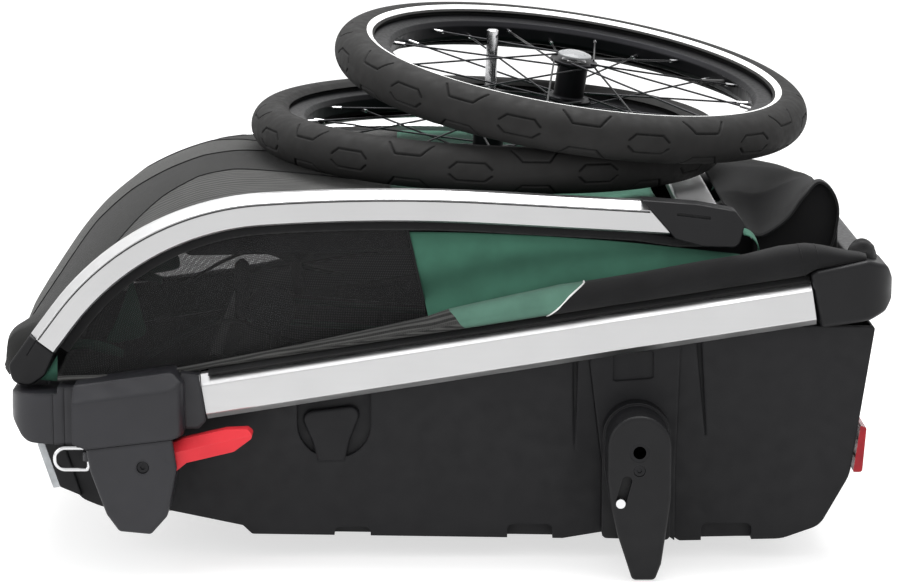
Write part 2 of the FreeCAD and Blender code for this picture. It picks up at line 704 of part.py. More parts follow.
def support_leg(name, side):
    """Flat leg that swings down from the end cap to the rear corner when the trailer is unfolded."""
    x, z = dim("leg_pivot_x"), dim("leg_pivot_z")
    far = (x - dim("leg_length") * math.cos(math.radians(1)), z - dim("leg_length") * math.sin(math.radians(1)))
    body = new_body(name)
    side_pad(body, side, capsule((x, z), far, dim("leg_depth") / 2), "leg_outer", "leg_width")
    soften(body, 2, on_face(-side * dim("leg_outer")))
    side_cut(body, side, ring(x, z, dim("pivot_radius") + dim("pivot_clearance")), dim("leg_outer") + 2, 16)
    side_cut(body, side, ring(far[0], far[1], 4.5), dim("leg_outer") + 2, 16)
    keep(body, name)


def roof_cover():
    """Thin crowned cover between the roof bars, sagging under the wheels."""
    stations = [
        (4, 24), (40, 26), (90, 32), (130, 34), (200, 31), (230, 25), (260, 17), (330, 1), (420, -14), (520, -24),
        (600, -20), (634, -12),
    ]
    wires = []
    for distance, crown in stations:
        x, z, heading = bar_point(distance)
        up = Vector(-math.sin(heading), 0, math.cos(heading))
        edge = Vector(x, 0, z) + up * 8
        wires.append(arch_wire(edge, up, crown, dim("cover_half"), dim("cover_thick")))
    keep(set_shape("cover_loft", Part.makeLoft(wires, True, False)), "roof_cover")


def arch_wire(edge, up, crown, half, thick):
    """Closed arch section between Y = -half and Y = half."""
    low, high = Vector(0, -half, 0), Vector(0, half, 0)
    outer = [edge + low, edge + up * crown, edge + high]
    inner = [p - up * thick for p in outer]
    return Part.Wire([
        Part.Arc(*outer).toShape(), Part.makeLine(outer[2], inner[2]),
        Part.Arc(inner[2], inner[1], inner[0]).toShape(), Part.makeLine(inner[0], outer[0]),
    ])


# ---------------------------------------------------------------- seat and fabric

def seat_frame():
    """Steel tube ring of the seat with the recline rod and its two round joints."""
    half, radius = dim("seat_half_width"), dim("seat_tube")
    curves = outline([(-200, -half, 40), (190, -half, 40), (190, half, 40), (-200, half, 40)])
    wire = Part.Wire([c.toShape() for c in curves])
    wire.translate(Vector(0, 0, 60))
    edge = wire.Edges[0]
    section = Part.Wire(Part.makeCircle(radius, edge.Vertexes[0].Point, edge.tangentAt(edge.FirstParameter)))
    items = [set_shape("seat_ring", wire.makePipeShell([section], True, True))]
    rod_end = Vector(dim("recline_x"), half + 12, dim("recline_z"))
    items.append(cylinder("Dimensions.recline_rod", Vector(rod_end.x, -rod_end.y, rod_end.z), rod_end))
    for _, side in SIDES:
        y = -side * half
        items.append(cylinder(7, Vector(150, y, 60), Vector(dim("recline_x"), -side * (half + 8), dim("recline_z"))))
        items.append(cylinder(7, Vector(-150, y, 60), Vector(-178, -side * (half + 14), 238)))
        items.append(cylinder(24, Vector(-178, -side * (half + 8), 245), Vector(-178, -side * (half + 22), 245)))
        for x, floor in ((-60, 27.2), (60, 25.5)):
            items.append(cylinder(7, Vector(x, y, 60), Vector(x, y, floor)))
    keep(fuse(items), "seat_frame")


def pad_block(name, length, half, thick, radius):
    """Plain closed block with rounded edges for a pad; X from 0 to length."""
    block = box_between((0, -half, -thick / 2), (length, half, thick / 2))
    doc.recompute()
    rounded = doc.addObject("Part::Fillet", name)
    rounded.Base = block
    rounded.Edges = [(i + 1, radius, radius) for i in range(len(block.Shape.Edges))]
    return rounded


def seat_pads():
    seat = pad_block("seat_block", 330, 180, 26, 10)
    seat.Placement = Placement(Vector(-170, 0, 88), Rotation(Vector(0, 1, 0), -1.0))
    keep(seat, "seat_pad")
    back = pad_block("back_block", dim("backrest_length") - 43, dim("backrest_half") - 14, dim("backrest_depth"), 9)
    back.Placement = Placement(Vector(dim("recline_x") - 34, 0, dim("recline_z") + 6), Rotation(Vector(0, 1, 0), 185))
    keep(back, "backrest_pad")


def backrest_frame():
    """Tube hoop of the backrest, with two sleeves that turn on the recline rod."""
    half = dim("backrest_half")
    rod = dim("recline_rod")
    items = []
    for _, side in SIDES:
        y = -side * half
        sleeve = cylinder(rod + 4, Vector(0, y - 14, 0), Vector(0, y + 14, 0))
        items.append(sleeve)
        items.append(cylinder(6, Vector(0, y, 0), Vector(dim("backrest_length"), y, 0)))
    items.append(cylinder(6, Vector(dim("backrest_length"), -half - 6, 0), Vector(dim("backrest_length"), half + 6, 0)))
    bores = cylinder("Dimensions.recline_rod + Dimensions.pivot_clearance", Vector(0, -half - 30, 0),
                     Vector(0, half + 30, 0))
    hoop = cut(fuse(items), bores)
    hoop.Placement = Placement(Vector(dim("recline_x"), 0, dim("recline_z")), Rotation(Vector(0, 1, 0), 185))
    keep(hoop, "backrest_frame")


def side_panel(name, side):
    """Flat fabric side wall between the rail and the roof bar."""
    side_view = [
        (-384, 186, 4), (-376, 206), (-362, 226), (-340, 252), (-306, 284), (-262, 307), (-214, 322),
        (-165, 329), (-94, 331), (0, 332), (150, 328, 4), (150, 262), (-236, 200), (-236, 184), (-362, 184),
    ]
    body = new_body(name)
    side_pad(body, side, outline(side_view), "panel_outer", "panel_width")
    keep(body, name)


def side_roll(name, side):
    """Padded black roll along the rear half of the rail."""
    side_view = [
        (118, 253), (150, 270, 20), (186, 293, 40), (243, 301, 60), (288, 307, 60), (340, 319, 30), (384, 314, 10),
        (404, 308.5, 2), (356, 298), (346, 292),
    ]
    body = new_body(name)
    side_pad(body, side, outline(side_view), "roll_outer", "roll_width")
    keep(body, name)


def rear_flap():
    """Folded rear fabric panel: an arched sheet from the roof crossbar to the rear rim."""
    outer = [(268, 355), (300, 353, 20), (338, 366, 25), (369, 374, 14), (382, 352, 20), (379, 312, 12), (386, 300)]
    inner = [(382, 299), (375, 312, 9), (378, 351, 17), (367, 370, 11), (339, 362, 22), (300, 349, 17), (268, 351)]
    keep(crossbar("rear_flap", outer + inner, "Dimensions.flap_width"), "rear_flap")


# ---------------------------------------------------------------- wheels

WHEELS = [
    # name, centre, roll and tilt in degrees, button side up, spoke phase
    ("lower", (40.5, 0, 396.5), 2.4, 2.5, False, 43.0),
    ("upper", (127, -13, 453.5), 8.5, 7.0, True, 20.5),
]


def wheel_place(centre, roll, tilt, button_up, phase):
    """Placement of a wheel whose own +Z axis points out of the button side."""
    roll, tilt = math.radians(roll), math.radians(tilt)
    normal = Vector(math.sin(roll) * math.cos(tilt), -math.sin(tilt), math.cos(roll) * math.cos(tilt))
    turn = Rotation(Vector(0, 0, 1), normal)
    if not button_up:
        turn = turn * Rotation(Vector(1, 0, 0), 180)
    turn = turn * Rotation(Vector(0, 0, 1), phase)
    return Placement(Vector(*centre), turn)


def arc_by_height(ring_radius, section, r, sign=1):
    """Height of a tyre section circle at radius r."""
    return sign * math.sqrt(section ** 2 - (r - ring_radius) ** 2)


def tyre(place, name):
    """Tyre casing, open to the rim."""
    mid, outer = dim("tyre_ring"), dim("tyre_section")
    inner = outer - dim("tyre_wall")
    bead, lip = 209.0, 212.0
    z_out = arc_by_height(mid, outer, bead)
    z_in = arc_by_height(mid, inner, lip)
    p = [Vector(bead, -z_out, 0), Vector(bead, -z_in - 0.2, 0), Vector(lip, -z_in, 0), Vector(lip, z_in, 0),
         Vector(bead, z_in + 0.2, 0), Vector(bead, z_out, 0)]
    curves = [
        Part.Arc(p[0], Vector(mid + outer, 0, 0), p[5]), Part.LineSegment(p[5], p[4]),
        Part.LineSegment(p[4], p[3]), Part.Arc(p[3], Vector(mid + inner, 0, 0), p[2]),
        Part.LineSegment(p[2], p[1]), Part.LineSegment(p[1], p[0]),
    ]
    body = new_body(name)
    turned(body, curves)
    body.Placement = place
    keep(body, name)


def valve_direction():
    """Direction of the valve from the wheel centre, half way between two spoke nipples."""
    angle = math.radians(180 / dim("spoke_count"))
    return Vector(math.cos(angle), math.sin(angle), 0)


def inner_tube(place, name):
    """Hollow inner tube with its valve stem."""
    mid, outer = dim("tube_ring"), dim("tube_section")
    rings = []
    for section in (outer, outer - dim("tube_wall")):
        item = doc.addObject("Part::Torus", "Torus")
        item.Radius1 = mid
        item.Radius2 = section
        rings.append(item)
    out = valve_direction()
    stem = cylinder(3, out * (dim("rim_inner") - 28), out * (mid - outer + 1))
    item = fuse([cut(rings[0], rings[1]), stem])
    item.Placement = place
    keep(item, name)


def rim(place, name):
    """Box-section rim with tyre hooks and a valve hole."""
    outer, inner, half = dim("rim_outer"), dim("rim_inner"), dim("rim_half_width")
    section = [
        (inner, -6, 2), (inner + 4, -half + 2, 2), (outer - 3, -half), (outer, -half, 0.6), (outer, -half + 2),
        (outer - 8, -half + 3.5), (outer - 8, half - 3.5), (outer, half - 2), (outer, half, 0.6),
        (outer - 3, half), (inner + 4, half - 2, 2), (inner, 6, 2),
    ]
    body = new_body(name + "_ring")
    turned(body, outline(section))
    out = valve_direction()
    hole = cylinder(3.2, out * (inner - 5), out * outer)
    item = cut(body, hole)
    item.Placement = place
    keep(item, name)


def spoke_lines():
    """Start and end of every spoke: pairs cross on each flange, leading ones outside."""
    count = int(dim("spoke_count"))
    per_side = count // 2
    pitch = 360.0 / per_side
    lines = []
    for face, (flange, out, shift) in enumerate(((dim("flange_high"), 1, 0), (dim("flange_low"), -1, pitch / 2))):
        for k in range(per_side):
            leading = k % 2 == 0
            start_angle = math.radians(k * pitch + shift)
            end_angle = start_angle + math.radians(2 * pitch if leading else -2 * pitch)
            lift = 0.9 if leading else -3.9
            r = dim("flange_hole_ring")
            start = Vector(r * math.cos(start_angle), r * math.sin(start_angle), flange + out * lift)
            rim_r = dim("rim_inner") + 0.3
            end = Vector(rim_r * math.cos(end_angle), rim_r * math.sin(end_angle), out * 3.0)
            lines.append((start, end))
    return lines


def spokes(place, name):
    shapes = []
    for start, end in spoke_lines():
        along = (end - start).normalize()
        length = start.distanceToPoint(end) - dim("nipple_length")
        shapes.append(Part.makeCylinder(dim("spoke_radius"), length, start, along))
    item = set_shape(name + "_set", Part.makeCompound(shapes))
    item.Placement = place
    keep(item, name)


def nipples(place, name):
    shapes = []
    for start, end in spoke_lines():
        along = (end - start).normalize()
        base = end - along * dim("nipple_length")
        shapes.append(Part.makeCylinder(dim("nipple_radius"), dim("nipple_length"), base, along))
    item = set_shape(name + "_set", Part.makeCompound(shapes))
    item.Placement = place
    keep(item, name)


def hub_shell(place, name):
    """Hub body with two spoke flanges and a bearing seat in each end."""
    high, low = dim("flange_high"), dim("flange_low")
    hub, flange, seat = dim("hub_radius"), dim("flange_radius"), dim("bearing_radius")
    section = [
        (10, low + 5), (seat, low + 5), (seat, low - 2), (hub, low - 2, 0.8), (hub, low), (flange, low, 0.8),
        (flange, low + 3, 0.8), (hub, low + 3, 3), (hub, high - 3, 3), (flange, high - 3, 0.8),
        (flange, high, 0.8), (seat, high), (seat, high - 7), (10, high - 7),
    ]
    body = new_body(name)
    turned(body, outline(section))
    body.Placement = place
    keep(body, name)


def bearings(place, name):
    inner = dim("axle_radius") + dim("axle_clearance")
    items = []
    for low in (dim("flange_low") - 2, dim("flange_high") - 7):
        body = new_body("bearing")
        section = [(inner, low, 0.4), (dim("bearing_radius"), low, 0.4),
                   (dim("bearing_radius"), low + dim("bearing_width"), 0.4), (inner, low + dim("bearing_width"), 0.4)]
        turned(body, outline(section))
        items.append(body)
    item = group(items, name + "_pair")
    item.Placement = place
    keep(item, name)


def axle(place, name):
    """Quick-release axle: long plug with ball holes, chrome washer and a bore for the push button."""
    radius = dim("axle_radius")
    low = -dim("axle_length")
    stem = dim("button_stem") + 0.1
    section = [
        (0, low, 0), (radius - 1.2, low, 0), (radius, low + 1.2), (radius, -43), (17.5, -43, 0.8), (17.5, -40.5, 0.8),
        (9.5, -39.5), (9.5, -25.5), (radius, -25.5), (radius, 20.3), (12, 20.3), (12, 21, 0.3), (stem, 21), (stem, 4),
        (0, 4),
    ]
    body = new_body(name + "_turned")
    turned(body, outline(section))
    balls = cylinder(1.8, Vector(-8, 0, low + 7), Vector(8, 0, low + 7))
    item = cut(body, balls)
    item.Placement = place
    keep(item, name)


def push_button(place, name):
    """Domed push button that frees the axle's locking balls."""
    radius, stem = dim("button_radius"), dim("button_stem")
    base = 21.2 + dim("button_travel")
    section = [
        (0, 9, 0), (stem, 9), (stem, base), (radius, base, 0.5), (radius, base + 2.2, 1.2), (radius - 6, base + 4.6, 8),
        (0, base + 5.2),
    ]
    body = new_body(name)
    turned(body, outline(section))
    body.Placement = place
    keep(body, name)


def wheel(label, centre, roll, tilt, button_up, phase):
    place = wheel_place(centre, roll, tilt, button_up, phase)
    for build, noun in ((tyre, "tyre"), (inner_tube, "inner_tube"), (rim, "rim"), (spokes, "spokes"),
                        (nipples, "spoke_nipples"), (hub_shell, "hub"), (bearings, "hub_bearings"),
                        (axle, "axle"), (push_button, "axle_button")):
        build(place, label + "_" + noun)


# ---------------------------------------------------------------- assembly

def build_all():
    tub()
    for label, side in SIDES:
        side_rail("rail_" + label, side)
        rear_corner("rear_corner_" + label, side)
        front_corner("front_corner_" + label, side)
        wheel_bracket("wheel_bracket_" + label, side)
        axle_socket("axle_socket_" + label, side)
        release_pin("release_pin_" + label, side)
        upper_bar("roof_bar_" + label, side)
        hinge_cap("hinge_cap_" + label, side)
        end_cap("end_cap_" + label, side)
        support_leg("support_leg_" + label, side)
        side_panel("side_panel_" + label, side)
        side_roll("side_roll_" + label, side)
    front = crossbar("front_crossbar", [(-421, 136, 6), (-421, 170, 6), (-396, 170, 6), (-396, 136, 6)],
                     "2 * (Dimensions.corner_outer - Dimensions.front_arm)")
    rear = crossbar("rear_crossbar", [(397, 258, 6), (395, 297, 6), (423, 297, 8), (426, 262, 6)],
                    "2 * (Dimensions.corner_outer - Dimensions.rear_arm)")
    keep(group([front, rear], "lower_crossbar_pair"), "lower_crossbars")
    roof = crossbar("roof_bar_link", [(225, 343, 3), (225, 354, 3), (265, 352, 4), (265, 341, 3)],
                    "2 * (Dimensions.bar_outer - Dimensions.bar_width)")
    keep(roof, "roof_crossbar")
    hitch_upper()
    hitch_lower()
    front_sleeve()
    hitch_lever()
    wire_loop()
    screws()
    pivot_pins()
    reflectors("front_reflectors", [(-408, 119, 1), (-401.2, 120, 1), (-386.2, 75, 1), (-393, 74, 1)])
    reflectors("rear_reflectors", [(399, 90, 1), (405.4, 137, 1), (411.5, 135, 2), (408, 90, 3)])
    seat_frame()
    seat_pads()
    backrest_frame()
    roof_cover()
    rear_flap()
    for row in WHEELS:
        wheel(*row)


def check_all():
    doc.recompute()
    for item in doc.Objects:
        if "Invalid" in item.State or "Error" in item.State:
            raise RuntimeError("%s (%s) is %s" % (item.Name, item.Label, item.State))
    for item in parts:
        if item.Shape.isNull() or not item.Shape.isValid():
            raise RuntimeError("bad shape: " + item.Label)


build_all()
check_all()
os.makedirs("parts", exist_ok=True)
for item in parts:
    item.Shape.exportStep("parts/" + item.Label + ".step")
print("wrote", len(parts), "parts")
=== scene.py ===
"""Folded child bicycle trailer: materials, tyres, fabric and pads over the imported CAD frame."""
import math

import bpy
import numpy as np
from mathutils import Matrix, Vector


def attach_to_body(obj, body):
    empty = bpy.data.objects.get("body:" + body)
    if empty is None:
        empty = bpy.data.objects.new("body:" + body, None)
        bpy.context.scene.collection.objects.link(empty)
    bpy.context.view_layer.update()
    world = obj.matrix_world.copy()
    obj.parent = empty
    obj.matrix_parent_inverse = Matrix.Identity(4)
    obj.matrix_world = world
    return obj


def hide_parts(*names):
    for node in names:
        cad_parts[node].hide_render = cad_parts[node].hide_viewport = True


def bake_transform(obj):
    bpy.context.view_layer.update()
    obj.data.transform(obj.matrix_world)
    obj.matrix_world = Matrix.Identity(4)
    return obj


MM = 0.001
SIDES = (("left", -1), ("right", 1))
GREEN = (0.040, 0.120, 0.083)
GREEN_LIGHT = (0.078, 0.165, 0.125)
BLACK = (0.0085, 0.0085, 0.009)
CHARCOAL = (0.045, 0.045, 0.046)
WAVE_SCALE = 0.314  # a wave texture's scale times the spacing of its bands, in metres

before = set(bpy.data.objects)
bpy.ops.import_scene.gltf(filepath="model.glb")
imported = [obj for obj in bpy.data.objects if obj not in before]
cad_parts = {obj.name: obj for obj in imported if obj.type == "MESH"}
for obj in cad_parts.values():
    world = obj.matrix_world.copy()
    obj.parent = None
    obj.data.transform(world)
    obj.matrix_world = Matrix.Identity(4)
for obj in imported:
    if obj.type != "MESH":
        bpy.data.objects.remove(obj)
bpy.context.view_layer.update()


# ---- materials

class Paint:
    """A principled material with a few procedural layers."""

    def __init__(self, name, colour, roughness, **sockets):
        self.material = bpy.data.materials.new(name)
        self.material.use_nodes = True
        self.tree = self.material.node_tree
        self.shader = self.tree.nodes["Principled BSDF"]
        self.colour = colour
        self.shader.inputs["Base Color"].default_value = (*colour, 1)
        self.shader.inputs["Roughness"].default_value = roughness
        for socket, value in sockets.items():
            self.shader.inputs[socket.replace("_", " ")].default_value = value

    def link(self, source, target):
        self.tree.links.new(source, target)

    def node(self, kind, inputs=None, **settings):
        """New shader node; inputs gives its sockets a plain value or the output that feeds them."""
        item = self.tree.nodes.new("ShaderNode" + kind)
        for key, value in settings.items():
            setattr(item, key, value)
        for key, value in (inputs or {}).items():
            if isinstance(value, bpy.types.NodeSocket):
                self.link(value, item.inputs[key])
            else:
                item.inputs[key].default_value = value
        return item

    def place(self, scale, source="Object"):
        """Texture coordinates times scale, in metres on the object or along the cloth's own grid."""
        where = self.node("TexCoord").outputs[source]
        return self.node("Mapping", {"Scale": scale, "Vector": where}).outputs["Vector"]

    def noise(self, size, detail=3.0, stretch=(1, 1, 1)):
        """Noise with features about size metres across."""
        inputs = {"Scale": 1 / size, "Detail": detail, "Vector": self.place(stretch)}
        return self.node("TexNoise", inputs).outputs["Fac"]

    def ramp(self, factor, stops):
        """Colour ramp between two (position, colour) stops."""
        item = self.node("ValToRGB", {"Fac": factor})
        for element, (position, colour) in zip(item.color_ramp.elements, stops):
            element.position = position
            element.color = (*colour, 1)
        return item.outputs["Color"]

    def spread(self, factor, low, high):
        """Map 0.3-0.7 of a factor to low-high."""
        inputs = {"Value": factor, "From Min": 0.3, "From Max": 0.7, "To Min": low, "To Max": high}
        return self.node("MapRange", inputs).outputs["Result"]

    def mix(self, factor, first, colour):
        """The first colour's output where the factor is zero, and the other colour where it is one."""
        inputs = {"Factor": factor, "A": first, "B": (*colour, 1)}
        return self.node("Mix", inputs, data_type="RGBA").outputs["Result"]

    def mix_in(self, factor, colour):
        """Mix another colour into the base colour by a factor."""
        socket = self.shader.inputs["Base Color"]
        self.link(self.mix(factor, socket.links[0].from_socket, colour), socket)
        return self

    def mottle(self, size, amount, worn=None):
        """Vary the colour by noise, and lighten it along worn edges."""
        dark = tuple(c * (1 - amount) for c in self.colour)
        light = tuple(c * (1 + amount) for c in self.colour)
        colour = self.ramp(self.noise(size), [(0.3, dark), (0.7, light)])
        if worn:
            edge = self.ramp(self.edge_turn(), [(0.88, (1, 1, 1)), (0.985, (0, 0, 0))])
            colour = self.mix(edge, colour, worn)
        self.link(colour, self.shader.inputs["Base Color"])
        return self

    def facing_up(self):
        """Zero on faces that look sideways or down, rising to one on faces that look up; the mask for the
        aluminium's painted highlight.
        """
        split = self.node("SeparateXYZ", {"Vector": self.node("NewGeometry").outputs["Normal"]})
        return self.spread(split.outputs["Z"], 0.0, 1.0)

    def soft_normal(self, radius):
        """Normal that turns smoothly round every sharp edge, over a radius in metres."""
        return self.node("Bevel", {"Radius": radius}).outputs["Normal"]

    def round_edges(self, radius):
        self.link(self.soft_normal(radius), self.shader.inputs["Normal"])
        return self

    def edge_turn(self):
        """One on flat faces and lower where the softened normal leaves the face, at an edge."""
        inputs = {0: self.soft_normal(0.0012), 1: self.node("NewGeometry").outputs["Normal"]}
        return self.node("VectorMath", inputs, operation="DOT_PRODUCT").outputs["Value"]

    def scuff(self, size, low, high, stretch=(1, 1, 1)):
        """Vary the roughness between low and high."""
        rough = self.spread(self.noise(size, 4.0, stretch), low, high)
        self.link(rough, self.shader.inputs["Roughness"])
        return self

    def bump(self, height, strength, distance):
        """Add a height field on top of any bump already there."""
        inputs = {"Strength": strength, "Distance": distance, "Height": height}
        before = self.shader.inputs["Normal"].links
        if before:
            inputs["Normal"] = before[0].from_socket
        self.link(self.node("Bump", inputs).outputs["Normal"], self.shader.inputs["Normal"])
        return self

    def grain(self, size, strength, distance, stretch=(1, 1, 1)):
        return self.bump(self.noise(size, 2.0, stretch), strength, distance)

    def threads(self, pitch, source):
        """Height of a plain weave with the given thread pitch in metres."""
        waves = []
        for axis in ("X", "Y", "Z") if source == "Object" else ("X", "Y"):
            inputs = {"Scale": WAVE_SCALE / pitch, "Vector": self.place((1, 1, 1), source)}
            waves.append(self.node("TexWave", inputs, bands_direction=axis).outputs["Fac"])
        height = waves[0]
        rule = "MAXIMUM" if source == "UV" else "ADD"
        for other in waves[1:]:
            height = self.node("Math", {0: height, 1: other}, operation=rule).outputs[0]
        return height

    def weave(self, pitch, strength, source="Object"):
        return self.bump(self.threads(pitch, source), strength, pitch * 0.4)

    def ripple(self, pitch, colour):
        """Faint wavy bands, as where two layers of mesh lie over each other."""
        inputs = {"Scale": WAVE_SCALE / pitch, "Distortion": 6.0, "Detail": 1.0, "Detail Scale": 0.6,
                  "Vector": self.place((1, 0.35, 1), "UV")}
        wave = self.node("TexWave", inputs, bands_direction="X")
        return self.mix_in(self.spread(wave.outputs["Fac"], 0.0, 0.8), colour)

    def holes(self, pitch, low, high):
        """See-through mesh: alpha is low in the holes and high on the threads."""
        alpha = self.spread(self.threads(pitch, "UV"), low, high)
        self.link(alpha, self.shader.inputs["Alpha"])
        return self


def fabric(name, colour, pitch, source="Object"):
    paint = Paint(name, colour, 0.85, Sheen_Weight=0.08, Sheen_Roughness=0.5, Specular_IOR_Level=0.15)
    paint.mottle(0.03, 0.12)
    paint.weave(pitch, 0.45, source)
    return paint.grain(0.02, 0.12, 0.002)


def moulded(name, colour, roughness, worn, radius=0.0012, shine=0.2):
    paint = Paint(name, colour, roughness, Specular_IOR_Level=shine)
    paint.round_edges(radius)
    paint.mottle(0.05, 0.10, worn)
    paint.scuff(0.015, roughness - 0.06, roughness + 0.1)
    return paint.grain(0.0009, 0.12, 0.0003)


def metal(name, colour, roughness, stretch):
    paint = Paint(name, colour, roughness, Metallic=1.0)
    paint.round_edges(0.0004)
    paint.mottle(0.06, 0.02)
    paint.scuff(0.004, roughness - 0.04, roughness + 0.07, stretch)
    return paint.grain(0.003, 0.04, 0.0002, stretch)


def prismatic(name, colour, clear):
    paint = Paint(name, colour, 0.12, Specular_IOR_Level=0.25, Transmission_Weight=clear, IOR=1.49)
    paint.mottle(0.01, 0.15)
    inputs = {"Scale": 420, "Randomness": 0.0, "Vector": paint.place((1, 1, 1))}
    cells = paint.node("TexVoronoi", inputs, feature="F1", distance="CHEBYCHEV")
    return paint.bump(cells.outputs["Distance"], 0.8, 0.001)


def make_materials():
    along_x = (0.05, 1, 1)
    paints = {
        "tub": moulded("moulded_tub", (0.007, 0.007, 0.008), 0.5, (0.016, 0.016, 0.018), 0.003),
        "plastic": moulded("moulded_black", (0.0065, 0.0065, 0.0073), 0.42, (0.02, 0.02, 0.022)),
        "hitch": moulded("moulded_hitch", (0.0165, 0.0165, 0.0195), 0.34, (0.032, 0.032, 0.036),
                         0.005, 0.3),
        "red": moulded("moulded_red", (0.58, 0.026, 0.036), 0.36, (0.62, 0.05, 0.06), 0.0004),
        "grey": moulded("moulded_button", (0.20, 0.205, 0.21), 0.25, (0.26, 0.265, 0.27), 0.0012, 0.5),
        "aluminium": metal("anodised_aluminium", (0.48, 0.48, 0.483), 0.32, along_x),
        "steel": metal("polished_steel", (0.60, 0.60, 0.61), 0.16, (1, 1, 1)),
        "frame_tube": metal("coated_tube", (0.03, 0.03, 0.032), 0.4, (1, 1, 1)),
        "alloy": metal("black_anodised", (0.014, 0.014, 0.0155), 0.42, (1, 1, 0.2)),
        "spoke": metal("black_spoke", (0.03, 0.03, 0.032), 0.3, (1, 1, 1)),
        "screw": metal("black_screw", (0.02, 0.02, 0.021), 0.3, (1, 1, 1)),
        "clear_reflector": prismatic("prismatic_clear", (0.50, 0.52, 0.54), 0.25),
        "red_reflector": prismatic("prismatic_red", (0.26, 0.004, 0.010), 0.05),
        "rubber": Paint("tyre_rubber", (0.0135, 0.0132, 0.013), 0.72, Specular_IOR_Level=0.2),
        "tube_rubber": Paint("inner_rubber", (0.012, 0.012, 0.012), 0.6),
        "stripe": Paint("reflective_stripe", (0.86, 0.86, 0.85), 0.35, Sheen_Weight=0.2),
        "black_fabric": fabric("black_soft_shell", BLACK, 0.0011),
        "black_cloth": fabric("black_cloth", BLACK, 0.0011, "UV"),
        "strip_cloth": fabric("smooth_strip", (0.011, 0.011, 0.0107), 0.0008, "UV"),
        "green_cloth": fabric("green_cloth", GREEN, 0.0009, "UV"),
        "green_light": fabric("green_roll_cloth", GREEN_LIGHT, 0.0009, "UV"),
        "pad": fabric("pad_fabric", CHARCOAL, 0.0016),
        "webbing": fabric("green_webbing", GREEN, 0.0014, "UV"),
        "piping": fabric("white_piping", (0.75, 0.75, 0.74), 0.0009),
        "roof_mesh": fabric("roof_mesh", (0.062, 0.062, 0.060), 0.0021, "UV"),
        "window_mesh": fabric("window_mesh", (0.014, 0.014, 0.0143), 0.0017, "UV"),
    }
    # Painted highlight: faces of the aluminium that look up get a lighter base colour.
    paints["aluminium"].mix_in(paints["aluminium"].facing_up(), (0.80, 0.80, 0.805))
    paints["rubber"].mottle(0.02, 0.12)
    # Painted shade: the rubber's colour is darkened in the tread grooves.
    groove_shade = paints["rubber"].node("Attribute", attribute_name="groove")
    paints["rubber"].mix_in(groove_shade.outputs["Fac"], (0.003, 0.003, 0.003))
    paints["rubber"].scuff(0.01, 0.66, 0.85)
    paints["rubber"].grain(0.0012, 0.25, 0.0004)
    paints["tube_rubber"].mottle(0.01, 0.1)
    paints["tube_rubber"].grain(0.001, 0.2, 0.0003)
    paints["stripe"].mottle(0.008, 0.03)
    paints["stripe"].grain(0.0008, 0.15, 0.0002)
    # Painted shade: the fold attribute darkens the green cloth in the panel's valley and under the roof
    # bar.
    fold_shade = paints["green_cloth"].node("Attribute", attribute_name="fold")
    paints["green_cloth"].mix_in(fold_shade.outputs["Fac"], (0.014, 0.046, 0.031))
    paints["roof_mesh"].holes(0.0021, 0.88, 1.0)
    paints["roof_mesh"].ripple(0.0065, (0.010, 0.010, 0.010))
    paints["window_mesh"].holes(0.0017, 0.44, 0.86)
    return {key: paint.material for key, paint in paints.items()}


MATERIALS = make_materials()

# Node names, less a side at their end and a lower or upper in front.
NODE_MATERIALS = {
    "tub": ["tub"],
    "plastic": ["wheel_bracket", "front_sleeve", "hinge_cap", "end_cap", "rear_corner"],
    "hitch": ["front_corner", "hitch_upper", "hitch_lower"],
    "aluminium": ["rail", "roof_bar", "roof_crossbar"],
    "steel": ["release_pin", "wire_loop", "pivot_pins", "axle", "hub_bearings", "spoke_nipples"],
    "red": ["hitch_lever"],
    "screw": ["housing_screws", "axle_socket"],
    "clear_reflector": ["front_reflectors"],
    "red_reflector": ["rear_reflectors"],
    "frame_tube": ["seat_frame", "backrest_frame", "crossbars"],
    "tube_rubber": ["inner_tube"],
    "alloy": ["rim", "hub", "support_leg"],
    "spoke": ["spokes"],
    "grey": ["axle_button"],
}


def paint_nodes():
    """Give every CAD node that stays visible its procedural material."""
    by_node = {stem: key for key, stems in NODE_MATERIALS.items() for stem in stems}
    for name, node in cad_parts.items():
        stem = name.removesuffix("_left").removesuffix("_right")
        key = by_node.get(stem.removeprefix("lower_").removeprefix("upper_"))
        if key is None:
            continue
        for place in node.material_slots:
            place.material = MATERIALS[key]


# ---- mesh helpers

def add_object(name, data):
    item = bpy.data.objects.new(name, data)
    bpy.context.scene.collection.objects.link(item)
    return item


def evaluated(item):
    """A piece with its modifiers applied."""
    return item.evaluated_get(bpy.context.evaluated_depsgraph_get())


def mesh_piece(name, points, faces, materials, indices=None, uvs=None):
    """Mesh object from points in millimetres."""
    mesh = bpy.data.meshes.new(name)
    mesh.from_pydata((np.asarray(points, float) * MM).tolist(), [], faces)
    for key in materials:
        mesh.materials.append(MATERIALS[key])
    if indices is not None:
        mesh.polygons.foreach_set("material_index", indices)
    if uvs is not None:
        layer = mesh.uv_layers.new(name="cloth")
        corners = np.empty(len(mesh.loops), int)
        mesh.loops.foreach_get("vertex_index", corners)
        layer.data.foreach_set("uv", np.asarray(uvs, float)[corners].ravel())
    mesh.shade_smooth()
    return add_object(name, mesh)


